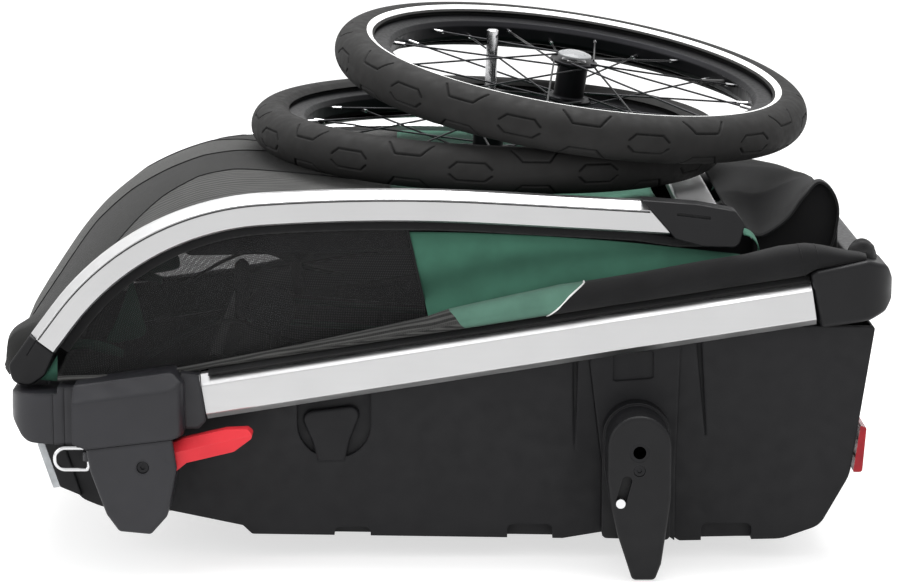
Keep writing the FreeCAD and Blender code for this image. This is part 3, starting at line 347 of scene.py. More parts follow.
def grid_piece(name, grid, materials, picks=None, wrap=False, caps=False):
    """Quad sheet through grid[row][column]; picks gives each column strip's material index."""
    grid = np.asarray(grid, float)
    rows, columns = grid.shape[:2]
    faces, indices = [], []
    for row in range(rows - 1):
        for column in range(columns if wrap else columns - 1):
            after = (column + 1) % columns
            faces.append((row * columns + column, row * columns + after,
                          (row + 1) * columns + after, (row + 1) * columns + column))
            indices.append(picks(row, column) if picks else 0)
    if caps:
        faces.append(tuple(reversed(range(columns))))
        faces.append(tuple(range((rows - 1) * columns, rows * columns)))
        indices += [indices[0], indices[-1]]
    across = np.zeros((rows, columns))
    across[:, 1:] = np.cumsum(np.linalg.norm(np.diff(grid, axis=1), axis=2), axis=1)
    along = np.zeros((rows, columns))
    along[1:] = np.cumsum(np.linalg.norm(np.diff(grid, axis=0), axis=2), axis=0)
    uvs = np.stack([across, along], axis=2).reshape(-1, 2) * MM
    return mesh_piece(name, grid.reshape(-1, 3), faces, materials, indices, uvs)


def settle(item):
    """Apply every modifier of a piece to its mesh."""
    mesh = bpy.data.meshes.new_from_object(evaluated(item))
    item.modifiers.clear()
    item.data = mesh
    return item


def subdivide(item, levels):
    """Smooth a piece by subdividing its mesh."""
    smoother = item.modifiers.new("smooth", "SUBSURF")
    smoother.levels = smoother.render_levels = levels
    return settle(item)


def thicken(item, thickness):
    """Give a sheet its thickness in millimetres."""
    solid = item.modifiers.new("thickness", "SOLIDIFY")
    solid.thickness = thickness * MM
    solid.offset = 0
    return settle(item)


def tube_piece(name, runs, radius, material):
    """Round tubes through runs of points in millimetres."""
    curve = bpy.data.curves.new(name, "CURVE")
    curve.dimensions = "3D"
    curve.bevel_depth = radius * MM
    curve.bevel_resolution = 2
    curve.use_fill_caps = True
    for run in runs:
        spline = curve.splines.new("POLY")
        spline.points.add(len(run) - 1)
        for point, place in zip(spline.points, run):
            point.co = (*[v * MM for v in place], 1)
    bent = add_object(name + "_curve", curve)
    mesh = bpy.data.meshes.new_from_object(evaluated(bent))
    bpy.data.objects.remove(bent)
    mesh.name = name
    mesh.materials.clear()
    mesh.materials.append(MATERIALS[material])
    mesh.shade_smooth()
    return add_object(name, mesh)


def attach(item, body):
    """Attach a piece to the body that it moves with."""
    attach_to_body(item, body)


def curve_at(points, parameter):
    """Smooth value at a parameter 0-1 through evenly spaced points."""
    points = np.asarray(points, float)
    place = np.clip(parameter, 0, 1) * (len(points) - 1)
    index = int(min(place, len(points) - 2))
    t = place - index
    before, after = max(index - 1, 0), min(index + 2, len(points) - 1)
    p0, p1, p2, p3 = points[before], points[index], points[index + 1], points[after]
    return 0.5 * (2 * p1 + (p2 - p0) * t + (2 * p0 - 5 * p1 + 4 * p2 - p3) * t * t
                  + (3 * p1 - p0 - 3 * p2 + p3) * t ** 3)


def signed_power(value, power):
    return math.copysign(abs(value) ** power, value)


def full_turn(count):
    """Evenly spaced angles of a full turn."""
    return np.linspace(0, 2 * math.pi, count, endpoint=False)


def smooth(value):
    """Smooth step from 0 to 1."""
    value = min(max(value, 0.0), 1.0)
    return value * value * (3 - 2 * value)


# ---- frame lines

# Place and heading of the roof bar's front end, then straight lengths and bend radii with their turns.
BAR_START = (-399.0, 221.5, math.radians(53))
BAR_RUNS = ((32.4, 0), (267.0, math.radians(49)), (1830.0, math.radians(7.2)), (400, 0))


def bar_point(distance):
    """Centre line of the roof bar in millimetres: x, z and heading at a distance along it."""
    x, z, heading = BAR_START
    if distance < 0:
        return x + distance * math.cos(heading), z + distance * math.sin(heading), heading
    for value, turn in BAR_RUNS:
        length = value * turn if turn else value
        step = min(distance, length)
        if turn:
            after = heading - step / value
            x += value * (math.sin(heading) - math.sin(after))
            z += value * (math.cos(after) - math.cos(heading))
            heading = after
        else:
            x += step * math.cos(heading)
            z += step * math.sin(heading)
        distance -= step
        if distance <= 0:
            break
    return x, z, heading


def off_bar(distance, offset):
    """Point (x, z) at an offset above the bar's centre line."""
    x, z, heading = bar_point(distance)
    return x - math.sin(heading) * offset, z + math.cos(heading) * offset


def rail_top(x):
    """Height of the side rail's top at x."""
    return 171.5 + (x + 240.5) * math.tan(math.radians(9)) + 22.8


# ---- tyres

WHEELS = [
    # name, centre, roll and tilt in degrees, button side up, phase of the tread
    ("lower", (40.5, 0, 396.5), 2.4, 2.5, False, 19.6),
    ("upper", (127, -13, 453.5), 8.5, 7.0, True, 1.5),
]
TYRE_RING = 226.5
TYRE_SECTION = 23.5
REPEATS = 12
GROOVE_DEPTH, GROOVE_HALF_WIDTH, GROOVE_SLOPE = 1.7, 1.35, 0.7


def wheel_matrix(centre, roll, tilt, button_up, phase):
    roll, tilt = math.radians(roll), math.radians(tilt)
    normal = Vector((math.sin(roll) * math.cos(tilt), -math.sin(tilt), math.cos(roll) * math.cos(tilt)))
    turn = Vector((0, 0, 1)).rotation_difference(normal).to_matrix().to_4x4()
    if not button_up:
        turn = turn @ Matrix.Rotation(math.pi, 4, "X")
    return Matrix.Translation(Vector(centre)) @ turn @ Matrix.Rotation(math.radians(phase), 4, "Z")


def place_points(points, matrix):
    matrix = np.array(matrix)
    return np.asarray(points) @ matrix[:3, :3].T + matrix[:3, 3]


def groove_depth(along, across, pitch):
    """Depth of the tread grooves at a place on one repeat of the tread, in millimetres."""
    lines = []
    for up in (-1, 1):
        outlines = [[(-21, 3.5), (-14, 9.8), (14, 9.8), (21, 3.5)]]
        for shift in (-pitch / 2, pitch / 2):
            outlines.append([(shift - 25, 27), (shift - 14, 13), (shift + 14, 13), (shift + 25, 27)])
        for outline in outlines:
            corners = [(place, up * height) for place, height in outline]
            lines += list(zip(corners[:-1], corners[1:]))
    nearest = np.full(along.shape, 99.0)
    for (x0, y0), (x1, y1) in lines:
        dx, dy = x1 - x0, y1 - y0
        t = np.clip(((along - x0) * dx + (across - y0) * dy) / (dx * dx + dy * dy), 0, 1)
        nearest = np.minimum(nearest, np.hypot(along - x0 - t * dx, across - y0 - t * dy))
    return GROOVE_DEPTH * np.clip((GROOVE_HALF_WIDTH - nearest) / GROOVE_SLOPE, 0, 1)


def tyre_piece(wheel, matrix):
    """Tyre casing with the block tread cut into its crown and a moulded line above each bead."""
    per_repeat = 144
    pitch = 2 * math.pi * (TYRE_RING + TYRE_SECTION) / REPEATS
    crown = np.linspace(-1.25, 1.25, 72)
    wall_high = np.linspace(1.32, 2.30, 12)
    angles = np.concatenate([-wall_high[::-1], crown, wall_high])
    along = (np.arange(per_repeat) / per_repeat - 0.5) * pitch
    depth = groove_depth(*np.meshgrid(along, angles * TYRE_SECTION, indexing="ij"), pitch)
    ridge = 0.5 * np.exp(-((np.abs(angles) - 1.95) / 0.05) ** 2)
    section = TYRE_SECTION - np.tile(depth, (REPEATS, 1)) + ridge
    turn = np.arange(REPEATS * per_repeat) / (REPEATS * per_repeat) * 2 * math.pi
    radius = TYRE_RING + section * np.cos(angles)
    points = np.stack([radius * np.cos(turn)[:, None], radius * np.sin(turn)[:, None],
                       section * np.sin(angles)], axis=2)
    grid = place_points(points.reshape(-1, 3), matrix).reshape(points.shape)
    grid = np.concatenate([grid, grid[:1]])
    item = grid_piece(wheel + "_treaded_tyre", grid, ["rubber"])
    # Share of painted shade in the tread grooves, by their depth.
    share = np.tile(np.clip(depth / 1.2, 0, 1), (REPEATS, 1))
    groove = item.data.attributes.new("groove", "FLOAT", "POINT")
    groove.data.foreach_set("value", np.concatenate([share, share[:1]]).ravel())
    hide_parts(wheel + "_tyre")
    attach(item, wheel + "_wheel")


def stripe_piece(wheel, matrix):
    """Reflective stripe round the sidewall on the button side."""
    turns = np.linspace(0, 2 * math.pi, 241)
    radii = np.array([213.4, 213.9, 216.5, 219.1, 219.6])
    lift = np.array([0.0, 0.5, 0.7, 0.5, 0.0])
    height = np.sqrt(TYRE_SECTION ** 2 - (radii - TYRE_RING) ** 2) + lift
    points = np.stack([radii * np.cos(turns)[:, None], radii * np.sin(turns)[:, None],
                       np.tile(height, (len(turns), 1))], axis=2)
    grid = place_points(points.reshape(-1, 3), matrix).reshape(points.shape)
    item = grid_piece(wheel + "_reflective_stripe", grid, ["stripe"])
    attach(item, wheel + "_wheel")


def rim_pressed(x, y):
    """Height of the lowest rubber of the lower wheel above (x, y), or a high value beside it."""
    centre, roll, tilt = WHEELS[0][1], math.radians(WHEELS[0][2]), math.radians(WHEELS[0][3])
    away = math.hypot(x - centre[0], y - centre[1])
    if abs(away - TYRE_RING) > TYRE_SECTION:
        return 999.0
    plane = centre[2] - math.tan(roll) * (x - centre[0]) + math.tan(tilt) * (y - centre[1])
    return plane - math.sqrt(TYRE_SECTION ** 2 - (away - TYRE_RING) ** 2)


# ---- roof cover

# Each table has the distance along the roof bar, then the crown's height or the seam's |Y|.
CROWN = [(-55, 12), (-20, 22), (0, 24), (40, 26.5), (90, 32), (130, 34), (200, 31), (230, 25), (260, 17),
         (330, 2), (420, -14), (520, -24), (600, -20), (634, -12)]
OUTER_SEAM = [(-55, 150), (40, 144), (60, 134), (90, 105), (130, 85), (165, 70), (200, 60), (230, 45),
              (270, 25), (640, 25)]
INNER_SEAM = [(-55, 246), (100, 246), (130, 214), (165, 174), (200, 149), (230, 139), (640, 136)]
COVER_FROM = -52
GREEN_FROM = 386
COVER_TO = 656
COVER_HALF = 249
STRIP_COLUMNS = (14, 10, 16, 10, 14)  # mesh, smooth strip, mesh, smooth strip, mesh


def along_table(table, distance):
    return float(np.interp(distance, [row[0] for row in table], [row[1] for row in table]))


def cover_point(distance, y):
    """Point of the roof cover: crowned in front, sagging behind, puffed out beside the hinge caps."""
    share = 1 - (y / COVER_HALF) ** 2
    offset = 8 + along_table(CROWN, distance) * share
    lobe = math.exp(-((distance + 24) / 25) ** 2) * smooth((abs(y) - 150) / 70)
    offset += 18 * lobe * (1 - smooth((abs(y) - 236) / 13))
    ripple = math.sin(distance / 17 + y / 60) + math.sin(distance / 31 - y / 27)
    offset += 0.7 * ripple * share * smooth((distance - 300) / 80)
    x, z = off_bar(distance, offset)
    return x, y, min(z, rim_pressed(x, y) - 1.5)


def cover_columns(distance):
    """Y of every grid column, so that the grid follows the sewn seams."""
    outer, inner = along_table(OUTER_SEAM, distance), along_table(INNER_SEAM, distance)
    marks = [-COVER_HALF, -inner, -outer, outer, inner, COVER_HALF]
    spans = zip(marks[:-1], marks[1:], STRIP_COLUMNS)
    columns = [np.linspace(a, b, n, endpoint=False) for a, b, n in spans]
    return np.concatenate(columns + [[COVER_HALF]])


def cover_strip(column):
    """Material index of a column: 1 in the two smooth strips, 0 in the mesh."""
    strip = int(np.searchsorted(np.cumsum(STRIP_COLUMNS), column, side="right"))
    return strip % 2


def roof_cover():
    crowned = np.linspace(COVER_FROM, 150, 52, endpoint=False)
    front = np.concatenate([crowned, np.linspace(150, GREEN_FROM, 48)])
    rear = np.linspace(GREEN_FROM, COVER_TO, 54)
    made = []
    for name, distances, keys in (("roof_cover_mesh", front, ["roof_mesh", "strip_cloth"]),
                                  ("roof_cover_green", rear, ["green_cloth", "green_cloth"])):
        grid = [[cover_point(d, y) for y in cover_columns(d)] for d in distances]
        item = grid_piece(name, grid, keys, lambda row, column: cover_strip(column))
        thicken(item, 1.2)
        made.append(item)
    seams = []
    for side in (-1, 1):
        for table, first in ((OUTER_SEAM, COVER_FROM + 2), (INNER_SEAM, 104)):
            run = []
            for distance in np.arange(first, GREEN_FROM, 5.0):
                x, y, z = cover_point(distance, side * along_table(table, distance))
                run.append((x - 0.4, y, z + 0.8))
            seams.append(run)
    stitching = tube_piece("roof_cover_seams", seams, 0.9, "black_fabric")
    hem = [[cover_point(COVER_FROM + 2, y) for y in np.linspace(-232, 232, 60)]]
    front_hem = tube_piece("roof_cover_front_hem", hem, 1.6, "black_fabric")
    mesh, green = made
    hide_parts("roof_cover")
    for item in (mesh, green, stitching, front_hem):
        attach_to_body(item, "upper_frame")


def plain_sheet(name, grid, material, body):
    """Thin cloth sheet that moves with one body."""
    item = grid_piece(name, grid, [material])
    thicken(item, 0.8)
    attach(item, body)


def front_apron():
    """Cloth that closes the front, from the cover's hem down over the front crossbar to the tub's rim."""
    profile = [(-425, 184), (-427, 175), (-426.5, 160), (-425.5, 145), (-422, 131), (-414, 124.6),
               (-402, 124.2), (-388, 124.4), (-373, 125.1)]
    grid = []
    for v in np.linspace(0, 1, 32):
        x, z = curve_at(profile, v)
        half = 238 + 24 * smooth((v - 0.55) / 0.1)
        ripple = 0.5 * smooth((0.5 - v) / 0.2)
        grid.append([(x + ripple * math.sin(y / 15 + 5 * v), y, z) for y in np.linspace(-half, half, 60)])
    plain_sheet("front_apron", grid, "black_cloth", "base")


def rear_liner():
    """Cloth inside the tub's rear rim that closes the slit below the rear corners."""
    start, depth, half, squareness = 346, 39, 258, 0.2
    grid = []
    for turn in np.linspace(-math.pi / 2, math.pi / 2, 90):
        x = start + depth * abs(math.cos(turn)) ** squareness
        y = half * signed_power(math.sin(turn), squareness)
        grid.append([(x, y, z) for z in (226, 243, 260, 277)])
    plain_sheet("rear_liner", grid, "black_cloth", "base")


def scoop_liner(label, side):
    """Cloth behind the foremost recess of the tub's rim."""
    grid = [[(x, side * 256.2, z) for z in np.linspace(156, 186, 6)] for x in np.linspace(-132, -62, 12)]
    plain_sheet("scoop_liner_" + label, grid, "black_cloth", "base")


# ---- side walls

WINDOW_TOP = [12, 60, 110, 160, 210, 260, 310, 360, 404]
WINDOW_LOW = [(-386, 186), (-350, 187), (-300, 189), (-250, 196), (-200, 204), (-148, 213), (-104, 219),
              (-62, 226), (-19, 232)]
PANEL_TOP = [(-41, 330), (4, 329.6), (49, 328), (98, 325.5), (147, 322), (181, 318.8), (215, 315),
             (252, 311), (284, 307.5)]
PANEL_LOW = [(-19, 238), (20, 248), (60, 258), (100, 268), (137, 274), (175, 281), (213, 289), (250, 297),
             (284, 303)]


def wall_grid(tops, lows, depth, columns, rows):
    """Grid between a top and a bottom line in side view; depth(u, v) gives |Y|."""
    grid = []
    for u in np.linspace(0, 1, columns):
        top, low = curve_at(tops, u), curve_at(lows, u)
        column = []
        for v in np.linspace(0, 1, rows):
            x, z = top + (low - top) * v
            column.append((x, depth(u, v), z))
        grid.append(column)
    return grid


WALL_COLUMNS, WALL_ROWS = 90, 34


def window_depth(u, v):
    bulge = 1.6 * math.sin(math.pi * v) * math.sin(math.pi * u) + 0.4 * math.sin(9 * u + 3 * v)
    return 263.5 + bulge + 11 * smooth((v - 0.35) / 0.65) * (1 - 0.5 * smooth((u - 0.5) / 0.5))


def panel_painted_shade(u, v):
    """Share of painted shade in the panel's diagonal valley and under the roof bar, which darkens the green
    cloth's colour.
    """
    valley = math.exp(-((v - 0.62 + 0.66 * u) / 0.15) ** 2) * (1 - 0.7 * u)
    return 0.6 * valley + 0.4 * (1 - smooth(v / 0.22))


def panel_depth(u, v):
    """The green panel hangs straight below the bar, then a soft valley turns it out to the roll."""
    valley = 0.60 - 0.66 * u
    out = smooth((v - valley) / (1.05 - valley))
    dip = -4.5 * math.exp(-((v - valley) / 0.2) ** 2) * (1 - 0.6 * u)
    return 263.5 + 17 * out * (1 - 0.4 * u) + dip + 0.4 * math.sin(14 * u + 4 * v)


def side_walls(label, side):
    tops = [off_bar(d, -22.5) for d in WINDOW_TOP]
    pieces = []
    for name, high, low, depth, keys in (
            ("window_mesh_", tops, WINDOW_LOW, window_depth, ["window_mesh"]),
            ("green_panel_", PANEL_TOP, PANEL_LOW, panel_depth, ["green_cloth"])):
        grid = np.array(wall_grid(high, low, depth, WALL_COLUMNS, WALL_ROWS))
        grid[:, :, 1] *= side
        item = grid_piece(name + label, grid, keys)
        pieces.append(item)
    window, panel = pieces
    # The fold attribute holds the share of painted shade for the green cloth.
    fold = panel.data.attributes.new("fold", "FLOAT", "POINT")
    shares = [panel_painted_shade(u, v) for u in np.linspace(0, 1, WALL_COLUMNS)
              for v in np.linspace(0, 1, WALL_ROWS)]
    fold.data.foreach_set("value", shares)
    thicken(panel, 1.0)
    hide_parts("side_panel_" + label)
    for item in (window, panel):
        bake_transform(item)
    seam_line = [(x, side * 265.4, z) for x, _, z in wall_grid(tops, WINDOW_LOW, window_depth, 2, 30)[1]]
    seam = tube_piece("panel_seam_" + label, [seam_line], 1.0, "black_fabric")
    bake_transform(seam)
    gusset = [[(-409, side * 268.5, 183.5), (-398, side * 270, 183.2), (-386, side * 272, 183)],
              [(-403, side * 269.5, 188), (-395, side * 271, 191), (-386, side * 271.5, 194)],
              [(-396, side * 268.5, 193), (-391, side * 269, 200), (-386, side * 268.5, 208)]]
    plain_sheet("front_gusset_" + label, gusset, "green_cloth", "base")


def bar_groove_shadow(label, side):
    """Dark strip in the groove along the outside of the roof bar, standing in for the groove's shadow line:
    a painted shadow.
    """
    run = []
    for distance in np.linspace(1, 640, 160):
        x, z = off_bar(distance, 5.7)
        run.append((x, side * 281.3, z))
    item = tube_piece("bar_groove_shadow_" + label, [run], 0.7, "tube_rubber")
    attach(item, "upper_frame")


def bar_hem(label, side):
    """Black welt that holds the side wall in the groove under the roof bar."""
    section = [(261, -14.6), (269, -14.6), (270.5, -17), (270, -22.5), (267.5, -25), (263, -25.4),
               (261, -24)]
    grid = []
    for distance in np.linspace(6, 714, 180):
        ripple = 0.25 * math.sin(distance / 3.1)
        below = np.interp(distance, [630, 668, 714], [0, 6, 2])
        loop = []
        for depth, offset in section:
            x, z = off_bar(distance, offset - (below if offset > -20 else 0.6 * below))
            loop.append((x, side * (depth + ripple), z))
        grid.append(loop)
    item = grid_piece("bar_hem_" + label, grid, ["black_fabric"], wrap=True, caps=True)
    attach(item, "upper_frame")


# ---- side rolls

ROLL_LOW = [-384, 16, 94, 170, 404]
ROLL_HIGH = [-384, -1, 131, 190, 404]
ROLL_COUNTS = (70, 18, 14, 60)
ROLL_ANGLES = full_turn(28)
ROLL_TOP = [(-384, 190), (-300, 192), (-236, 204), (-150, 221), (-59, 241), (-23, 249), (0, 257), (49, 268),
            (108, 281), (137, 285), (186, 293), (245, 304), (288, 311), (320, 319), (345, 322), (362, 320),
            (385, 315), (398, 313.5), (404, 312)]
ROLL_FOOT = [(-384, 183.5), (-262, 190), (-236, 197), (344, 288.5), (356, 295), (404, 303)]
ROLL_DEPTH = [(-384, 5), (-150, 7), (-40, 11), (10, 14), (120, 15), (340, 16), (404, 12)]


def roll_loop(low_x, high_x, side):
    """Closed section of the roll; it leans where low_x and high_x differ."""
    loop = []
    for angle in ROLL_ANGLES:
        lean = 0.5 + 0.5 * math.sin(angle)
        x = low_x + (high_x - low_x) * lean
        top, foot = along_table(ROLL_TOP, x), along_table(ROLL_FOOT, x) + 1.5
        depth = along_table(ROLL_DEPTH, x)
        up = signed_power(math.sin(angle), 0.8)
        out = signed_power(math.cos(angle), 0.8)
        rear_fold = math.exp(-((x - 262 - 1.4 * (top - 300)) / 15) ** 2)
        middle_fold = math.exp(-((x - 178 - 20 * up) / 18) ** 2)
        crease = 3.2 * (rear_fold + 0.6 * middle_fold) * max(out, 0)
        y = 283 + depth * out - crease
        loop.append((x, side * y, (top + foot) / 2 + (top - foot) / 2 * up))
    return loop


def roll_columns():
    lows, highs = [], []
    for k, count in enumerate(ROLL_COUNTS):
        last = k == len(ROLL_COUNTS) - 1
        lows.append(np.linspace(ROLL_LOW[k], ROLL_LOW[k + 1], count, endpoint=last))
        highs.append(np.linspace(ROLL_HIGH[k], ROLL_HIGH[k + 1], count, endpoint=last))
    return np.concatenate(lows), np.concatenate(highs)


def roll_outside():
    """Indices of the section's points that seams and piping follow, from the foot to the top."""
    turns = [(angle + math.pi) % (2 * math.pi) - math.pi for angle in ROLL_ANGLES]
    shown = [k for k in range(1, len(turns) - 1)
             if math.cos(turns[k]) > -0.35 and abs(math.sin(turns[k])) < 0.985]
    return sorted(shown, key=lambda k: turns[k])


def side_roll(label, side):
    """Padded roll along the rail: a mesh covered front, a green part and a black rear."""
    lows, highs = roll_columns()
    grid = [roll_loop(low, high, side) for low, high in zip(lows, highs)]
    if side > 0:
        grid = [loop[::-1] for loop in grid]
    first, second = ROLL_COUNTS[0], ROLL_COUNTS[0] + ROLL_COUNTS[1]

    def pick(row, column):
        return 0 if row < first else 1 if row < second else 2
    item = grid_piece("side_roll_cover_" + label, grid, ["roof_mesh", "green_light", "black_cloth"], pick,
                      wrap=True, caps=True)
    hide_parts("side_roll_" + label)
    attach(item, "base")
    shown = roll_outside()
    loop = roll_loop(ROLL_LOW[2], ROLL_HIGH[2], side)
    piping = tube_piece("side_piping_" + label, [[loop[k] for k in shown]], 0.9, "piping")
    runs = []
    for x in (340, 356):
        loop = roll_loop(x + 5, x - 2, side)
        runs.append([loop[k] for k in shown])
    seams = tube_piece("side_roll_seams_" + label, runs, 0.7, "black_fabric")
    strip = []
    for x in np.linspace(-236, 350, 120):
        z = rail_top(x)
        strip.append([(x, side * (278 + 19 * t), z - 1.5 + 4.5 * math.sin(math.pi * min(t + 0.25, 1)))
                      for t in np.linspace(0, 1, 8)])
    edging = thicken(grid_piece("rail_edging_" + label, strip, ["black_cloth"]), 1.0)
    for piece, name in ((piping, "pad_fabric"), (seams, "black_fabric"), (edging, "black_fabric")):
        attach(piece, "base")


def rear_knob(label, side, rise):
    """Ridged half-round fabric tab that rises above the rear corner."""
    grid = []
    for polar in np.linspace(0.02, math.pi / 2, 18):
        loop = []
        for turn in full_turn(48):
            ridge = 1 + 0.035 * math.cos(turn * 2) * math.sin(polar * 9)
            radius = math.sin(polar) ** 0.8
            loop.append((403 + 14 * radius * math.cos(turn) * ridge,
                         side * (266 + 17 * radius * math.sin(turn) * ridge),
                         302 + rise * math.cos(polar) ** 0.9 * ridge))
        grid.append(loop)
    item = grid_piece("rear_tab_" + label, grid, ["black_fabric"], wrap=True, caps=True)
    attach(item, "base")
    rim = [(403 + 14.2 * math.cos(a), side * 262, 302 + (rise - 0.5) * math.sin(a))
           for a in np.linspace(0.1, 3.04, 24)]
    binding = tube_piece("rear_tab_binding_" + label, [rim], 1.1, "black_fabric")
    attach(binding, "base")


# ---- rear flap

FLAP = [
    # Y, side view points from the roof crossbar over the crest to the rear rim
    (-225, [(272, 351), (289, 331), (305, 320), (322, 328), (337, 341), (350, 361), (364, 373), (377, 365),
            (384, 346), (381, 320), (375, 302)]),
    (-205, [(271, 352), (288, 338), (305, 327), (322, 333), (338, 349), (352, 366), (366, 373), (379, 364),
            (386, 346), (383, 320), (379, 300)]),
    (-150, [(270, 353), (290, 353), (306, 350), (322, 353), (339, 361), (355, 367), (369, 367), (380, 357),
            (387, 340), (385, 318), (383, 299)]),
    (0, [(270, 353), (290, 356), (307, 357), (324, 357), (341, 357), (357, 355), (370, 351), (381, 343),
         (387, 328), (385, 312), (383, 299)]),
    (150, [(270, 353), (290, 352), (307, 350), (324, 347), (341, 344), (356, 341), (369, 336), (380, 329),
           (385, 319), (384, 308), (383, 299)]),
    (225, [(270, 352), (290, 348), (307, 344), (324, 339), (341, 335), (356, 331), (368, 326), (378, 320),
           (382, 314), (382, 306), (382, 299)]),
]


def flap_point(y, v):
    """Point of the rear flap at y, v from 0 at the crossbar to 1 at the rim."""
    depths = [row[0] for row in FLAP]
    x, z = (float(np.interp(y, depths, [curve_at(row[1], v)[axis] for row in FLAP])) for axis in (0, 1))
    fold = 2.2 * math.exp(-((y * 0.35 + 190 - 330 * v + 60) / 16) ** 2)
    drape = 0.9 * math.sin(y / 23 + 7 * v) * math.sin(math.pi * v)
    return x, y, z - fold + drape


def rear_flap():
    grid = [[flap_point(y, v) for y in np.linspace(-225, 225, 100)] for v in np.linspace(0, 1, 70)]
    item = grid_piece("rear_flap_sheet", grid, ["black_cloth"])
    thicken(item, 1.6)
    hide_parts("rear_flap")
    gusset = []
    for v in np.linspace(0.18, 1, 40):
        x, _, z = flap_point(-211, v)
        gusset.append([(x - 1.5 * t, -211 - 7 * t, z - 1 + (297 - z) * t) for t in np.linspace(0, 1, 12)])
    wall = grid_piece("rear_flap_gusset", gusset, ["black_cloth"])
    thicken(wall, 0.8)
    edges = [[flap_point(side * 225, v) for v in np.linspace(0, 1, 50)] for side in (-1, 1)]
    hem = tube_piece("rear_flap_hem", edges, 1.3, "black_fabric")
    for piece in (item, hem, wall):
        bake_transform(piece)
    for label, side in SIDES:
        curl = []
        for t in np.linspace(0, 1, 14):
            angle = 2.3 * t
            x, z = 287 + 16 * math.sin(angle), 331 - 20 + 20 * math.cos(angle)
            curl.append([(x, side * (246 + k * 3.5), z - k * 0.6) for k in range(7)])
        plain_sheet("green_tab_" + label, curl, "green_cloth", "upper_frame")


# ---- pads

def pad_outline(length, half, thick, bulge):
    """Rounded block whose sides pull in between its corners, as a grid of loops along X."""
    grid = []
    for u in np.linspace(0, 1, 40):
        pinch = 1 - 0.03 * math.sin(math.pi * u) ** 2
        end = min(u, 1 - u) * length
        round_off = min(1.0, math.sqrt(max(0.02, 1 - (1 - min(end / 24, 1)) ** 2)))
        loop = []
        for angle in full_turn(64):
            y = signed_power(math.cos(angle), 0.35) * half * pinch
            z = signed_power(math.sin(angle), 0.55) * thick / 2 * round_off
            z += bulge * (1 - (y / half) ** 2) * math.sin(math.pi * u) * (1 if z > 0 else 0.1)
            loop.append((length * u, y * (0.96 + 0.04 * round_off), z))
        grid.append(loop)
    return grid


def inflate(item, cap):
    """Short pressure simulation of a remeshed pad, each point moving at most cap millimetres."""
    remesh = item.modifiers.new("voxels", "REMESH")
    remesh.mode = "VOXEL"
    remesh.voxel_size = 0.006
    settle(item)
    rest = np.array([v.co for v in item.data.vertices])
    cloth = item.modifiers.new("cloth", "CLOTH")
    cloth.settings.use_pressure = True
    cloth.settings.uniform_pressure_force = 4
    cloth.settings.effector_weights.gravity = 0
    cloth.point_cache.frame_start = 1
    cloth.point_cache.frame_end = 20
    scene = bpy.context.scene
    for step in range(1, 21):
        scene.frame_set(step)
    after = np.array([v.co for v in evaluated(item).data.vertices])
    item.modifiers.remove(cloth)
    shift = after - rest
    length = np.linalg.norm(shift, axis=1, keepdims=True)
    shift *= np.minimum(1, cap * MM / np.maximum(length, 1e-9))
    item.data.vertices.foreach_set("co", (rest + shift).ravel())
    item.data.update()
    scene.frame_set(1)


def sew_channels(item, lines, depth, width):
    """Press sewn channels into a pad: lines are X positions in millimetres before it is turned."""
    for vertex in item.data.vertices:
        for x in lines:
            away = (vertex.co.x / MM - x) / width
            vertex.co.z -= math.copysign(depth * MM * math.exp(-away * away), vertex.co.z)


def pad_piece(name, node, body, shape, channels, matrix):
    """Cushion over a CAD pad; shape is its length, half width and thickness in millimetres."""
    length, half, thick = shape
    item = grid_piece(name, pad_outline(length, half, thick, 3), ["pad"], wrap=True, caps=True)
    inflate(item, 6)
    item.data.materials.clear()
    item.data.materials.append(MATERIALS["pad"])
    subdivide(item, 1)
    sew_channels(item, channels, 3.5, 5)
    item.data.transform(matrix)
    item.data.shade_smooth()
    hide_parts(node)
    attach(item, body)


def pads():
    seat = Matrix.Translation(Vector((-0.166, 0, 0.088))) @ Matrix.Rotation(math.radians(-1), 4, "Y")
    pad_piece("seat_cushion", "seat_pad", "base", (322, 172, 17), (80, 160, 240), seat)
    back = Matrix.Translation(Vector((0.152, 0, 0.156))) @ Matrix.Rotation(math.radians(185), 4, "Y")
    pad_piece("backrest_cushion", "backrest_pad", "backrest", (378, 163, 17), (75, 150, 225, 300), back)


# ---- inside the cabin

def harness_strap(label, y):
    """Flat webbing, slightly crowned across its width, along the backrest cushion."""
    path = [(-212, y, 206), (-120, y, 199), (-20, y, 190), (80, y, 181), (140, y, 174)]
    width = 26
    across = np.linspace(-0.5, 0.5, 7)
    grid = []
    for t in np.linspace(0, 1, 40):
        x, _, z = curve_at(path, t)
        grid.append([(x, y + width * s, z + 0.5 * math.cos(math.pi * s)) for s in across])
    item = grid_piece("harness_strap_" + label, grid, ["webbing"])
    thicken(item, 1.8)
    attach(item, "backrest")


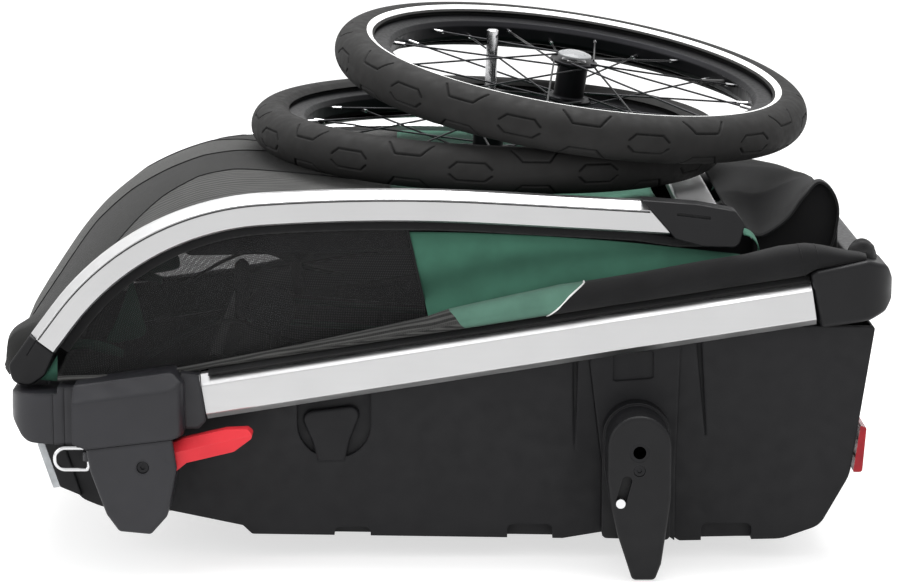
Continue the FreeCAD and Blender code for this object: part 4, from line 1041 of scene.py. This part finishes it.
def cabin_parts():
    """What shows dimly through the side windows: green liner gussets, struts and the seat's edge."""
    for label, side in SIDES:
        tips = [[(-318, 199, 273), (-312, 200, 250), (-306, 201, 226), (-303, 202, 214)],
                [(-319, 200, 272), (-321, 202, 248), (-322, 204, 224), (-324, 206, 210)],
                [(-320, 200, 271), (-328, 203, 246), (-338, 206, 222), (-350, 208, 206)]]
        grid = [[(x, side * y, z) for x, y, z in row] for row in tips]
        gusset = grid_piece("liner_gusset_" + label, grid, ["green_cloth"])
        thicken(subdivide(gusset, 2), 1.0)
        attach(gusset, "base")
        hem = [(-382, 212), (-365, 214), (-346, 211), (-326, 203)]
        low = [(-379, 203), (-364, 204), (-348, 200), (-327, 195)]
        band = [[(x, side * 215, z) for x, z in (curve_at(hem, u), curve_at(low, u))]
                for u in np.linspace(0, 1, 24)]
        plain_sheet("liner_band_" + label, band, "green_cloth", "base")
        edge = [(-304, 194), (-280, 208), (-255, 222), (-227, 232), (-200, 229), (-172, 216), (-120, 205)]
        points = [curve_at(edge, t) for t in np.linspace(0, 1, 40)]
        run = [(x, side * 214, z) for x, z in points]
        piping = tube_piece("seat_edge_piping_" + label, [run], 2.0, "strip_cloth")
        strut = []
        for t in np.linspace(0, 1, 20):
            wide = 7.5 * (1 - 0.75 * smooth((abs(t - 0.5) - 0.42) / 0.08))
            z = 236 + 62 * t
            strut.append([(-206 + wide * math.cos(a), side * (230 + 2.5 * math.sin(a)), z)
                          for a in full_turn(16)])
        plate = grid_piece("side_strut_" + label, strut, ["plastic"], wrap=True, caps=True)
        for piece, slot in ((piping, "black_fabric"), (plate, "black_plastic")):
            attach(piece, "base")


# ---- light and camera

FLOOR_REACH = 14000


def stage_floor():
    """White floor that reaches past every camera."""
    steps = np.linspace(-FLOOR_REACH, FLOOR_REACH, 12)
    grid = [[(x, y, -1) for y in steps] for x in steps]
    paint = Paint("floor_white", (0.5, 0.5, 0.5), 0.9, Emission_Strength=0.65)
    paint.mottle(0.5, 0.01)
    MATERIALS["floor"] = paint.material
    floor = grid_piece("studio_floor", grid, ["floor"])


def area_light(name, place, target, size, power):
    lamp = bpy.data.lights.new(name, "AREA")
    lamp.shape = "RECTANGLE"
    lamp.size, lamp.size_y = size
    lamp.energy = power
    item = add_object(name, lamp)
    item.location = place
    item.rotation_euler = (Vector(target) - Vector(place)).to_track_quat("-Z", "Y").to_euler()


def lights():
    world = bpy.data.worlds.new("studio")
    world.use_nodes = True
    background = world.node_tree.nodes["Background"]
    background.inputs["Color"].default_value = (1, 1, 1, 1)
    background.inputs["Strength"].default_value = 1.0
    bpy.context.scene.world = world
    bpy.context.scene.view_settings.view_transform = "Standard"
    area_light("top_softbox", (0.1, 0.3, 2.4), (0, 0, 0.3), (2.2, 1.4), 78)
    area_light("left_softbox", (-2.3, -1.4, 1.3), (0, 0, 0.25), (1.2, 1.6), 16)
    area_light("front_fill", (0.8, -3.6, 1.5), (0, 0, 0.2), (2.4, 1.2), 5)


def camera():
    data = bpy.data.cameras.new("camera")
    data.lens = 125.7
    data.sensor_width = 36
    data.clip_end = 50
    item = add_object("camera", data)
    item.location = (0, -3.300, 0.8094)
    item.rotation_euler = (math.radians(79.95), 0, 0)
    bpy.context.scene.camera = item


# ---- build

camera()
stage_floor()
lights()
paint_nodes()
for wheel, *wheel_place in WHEELS:
    wheel_frame = wheel_matrix(*wheel_place)
    tyre_piece(wheel, wheel_frame)
    stripe_piece(wheel, wheel_frame)
roof_cover()
front_apron()
rear_liner()
for side_name, side_sign in SIDES:
    side_walls(side_name, side_sign)
    scoop_liner(side_name, side_sign)
    bar_hem(side_name, side_sign)
    bar_groove_shadow(side_name, side_sign)
    side_roll(side_name, side_sign)
rear_knob("left", -1, 21)
rear_knob("right", 1, 11)
rear_flap()
pads()
cabin_parts()
harness_strap("left", -62)
harness_strap("right", 62)
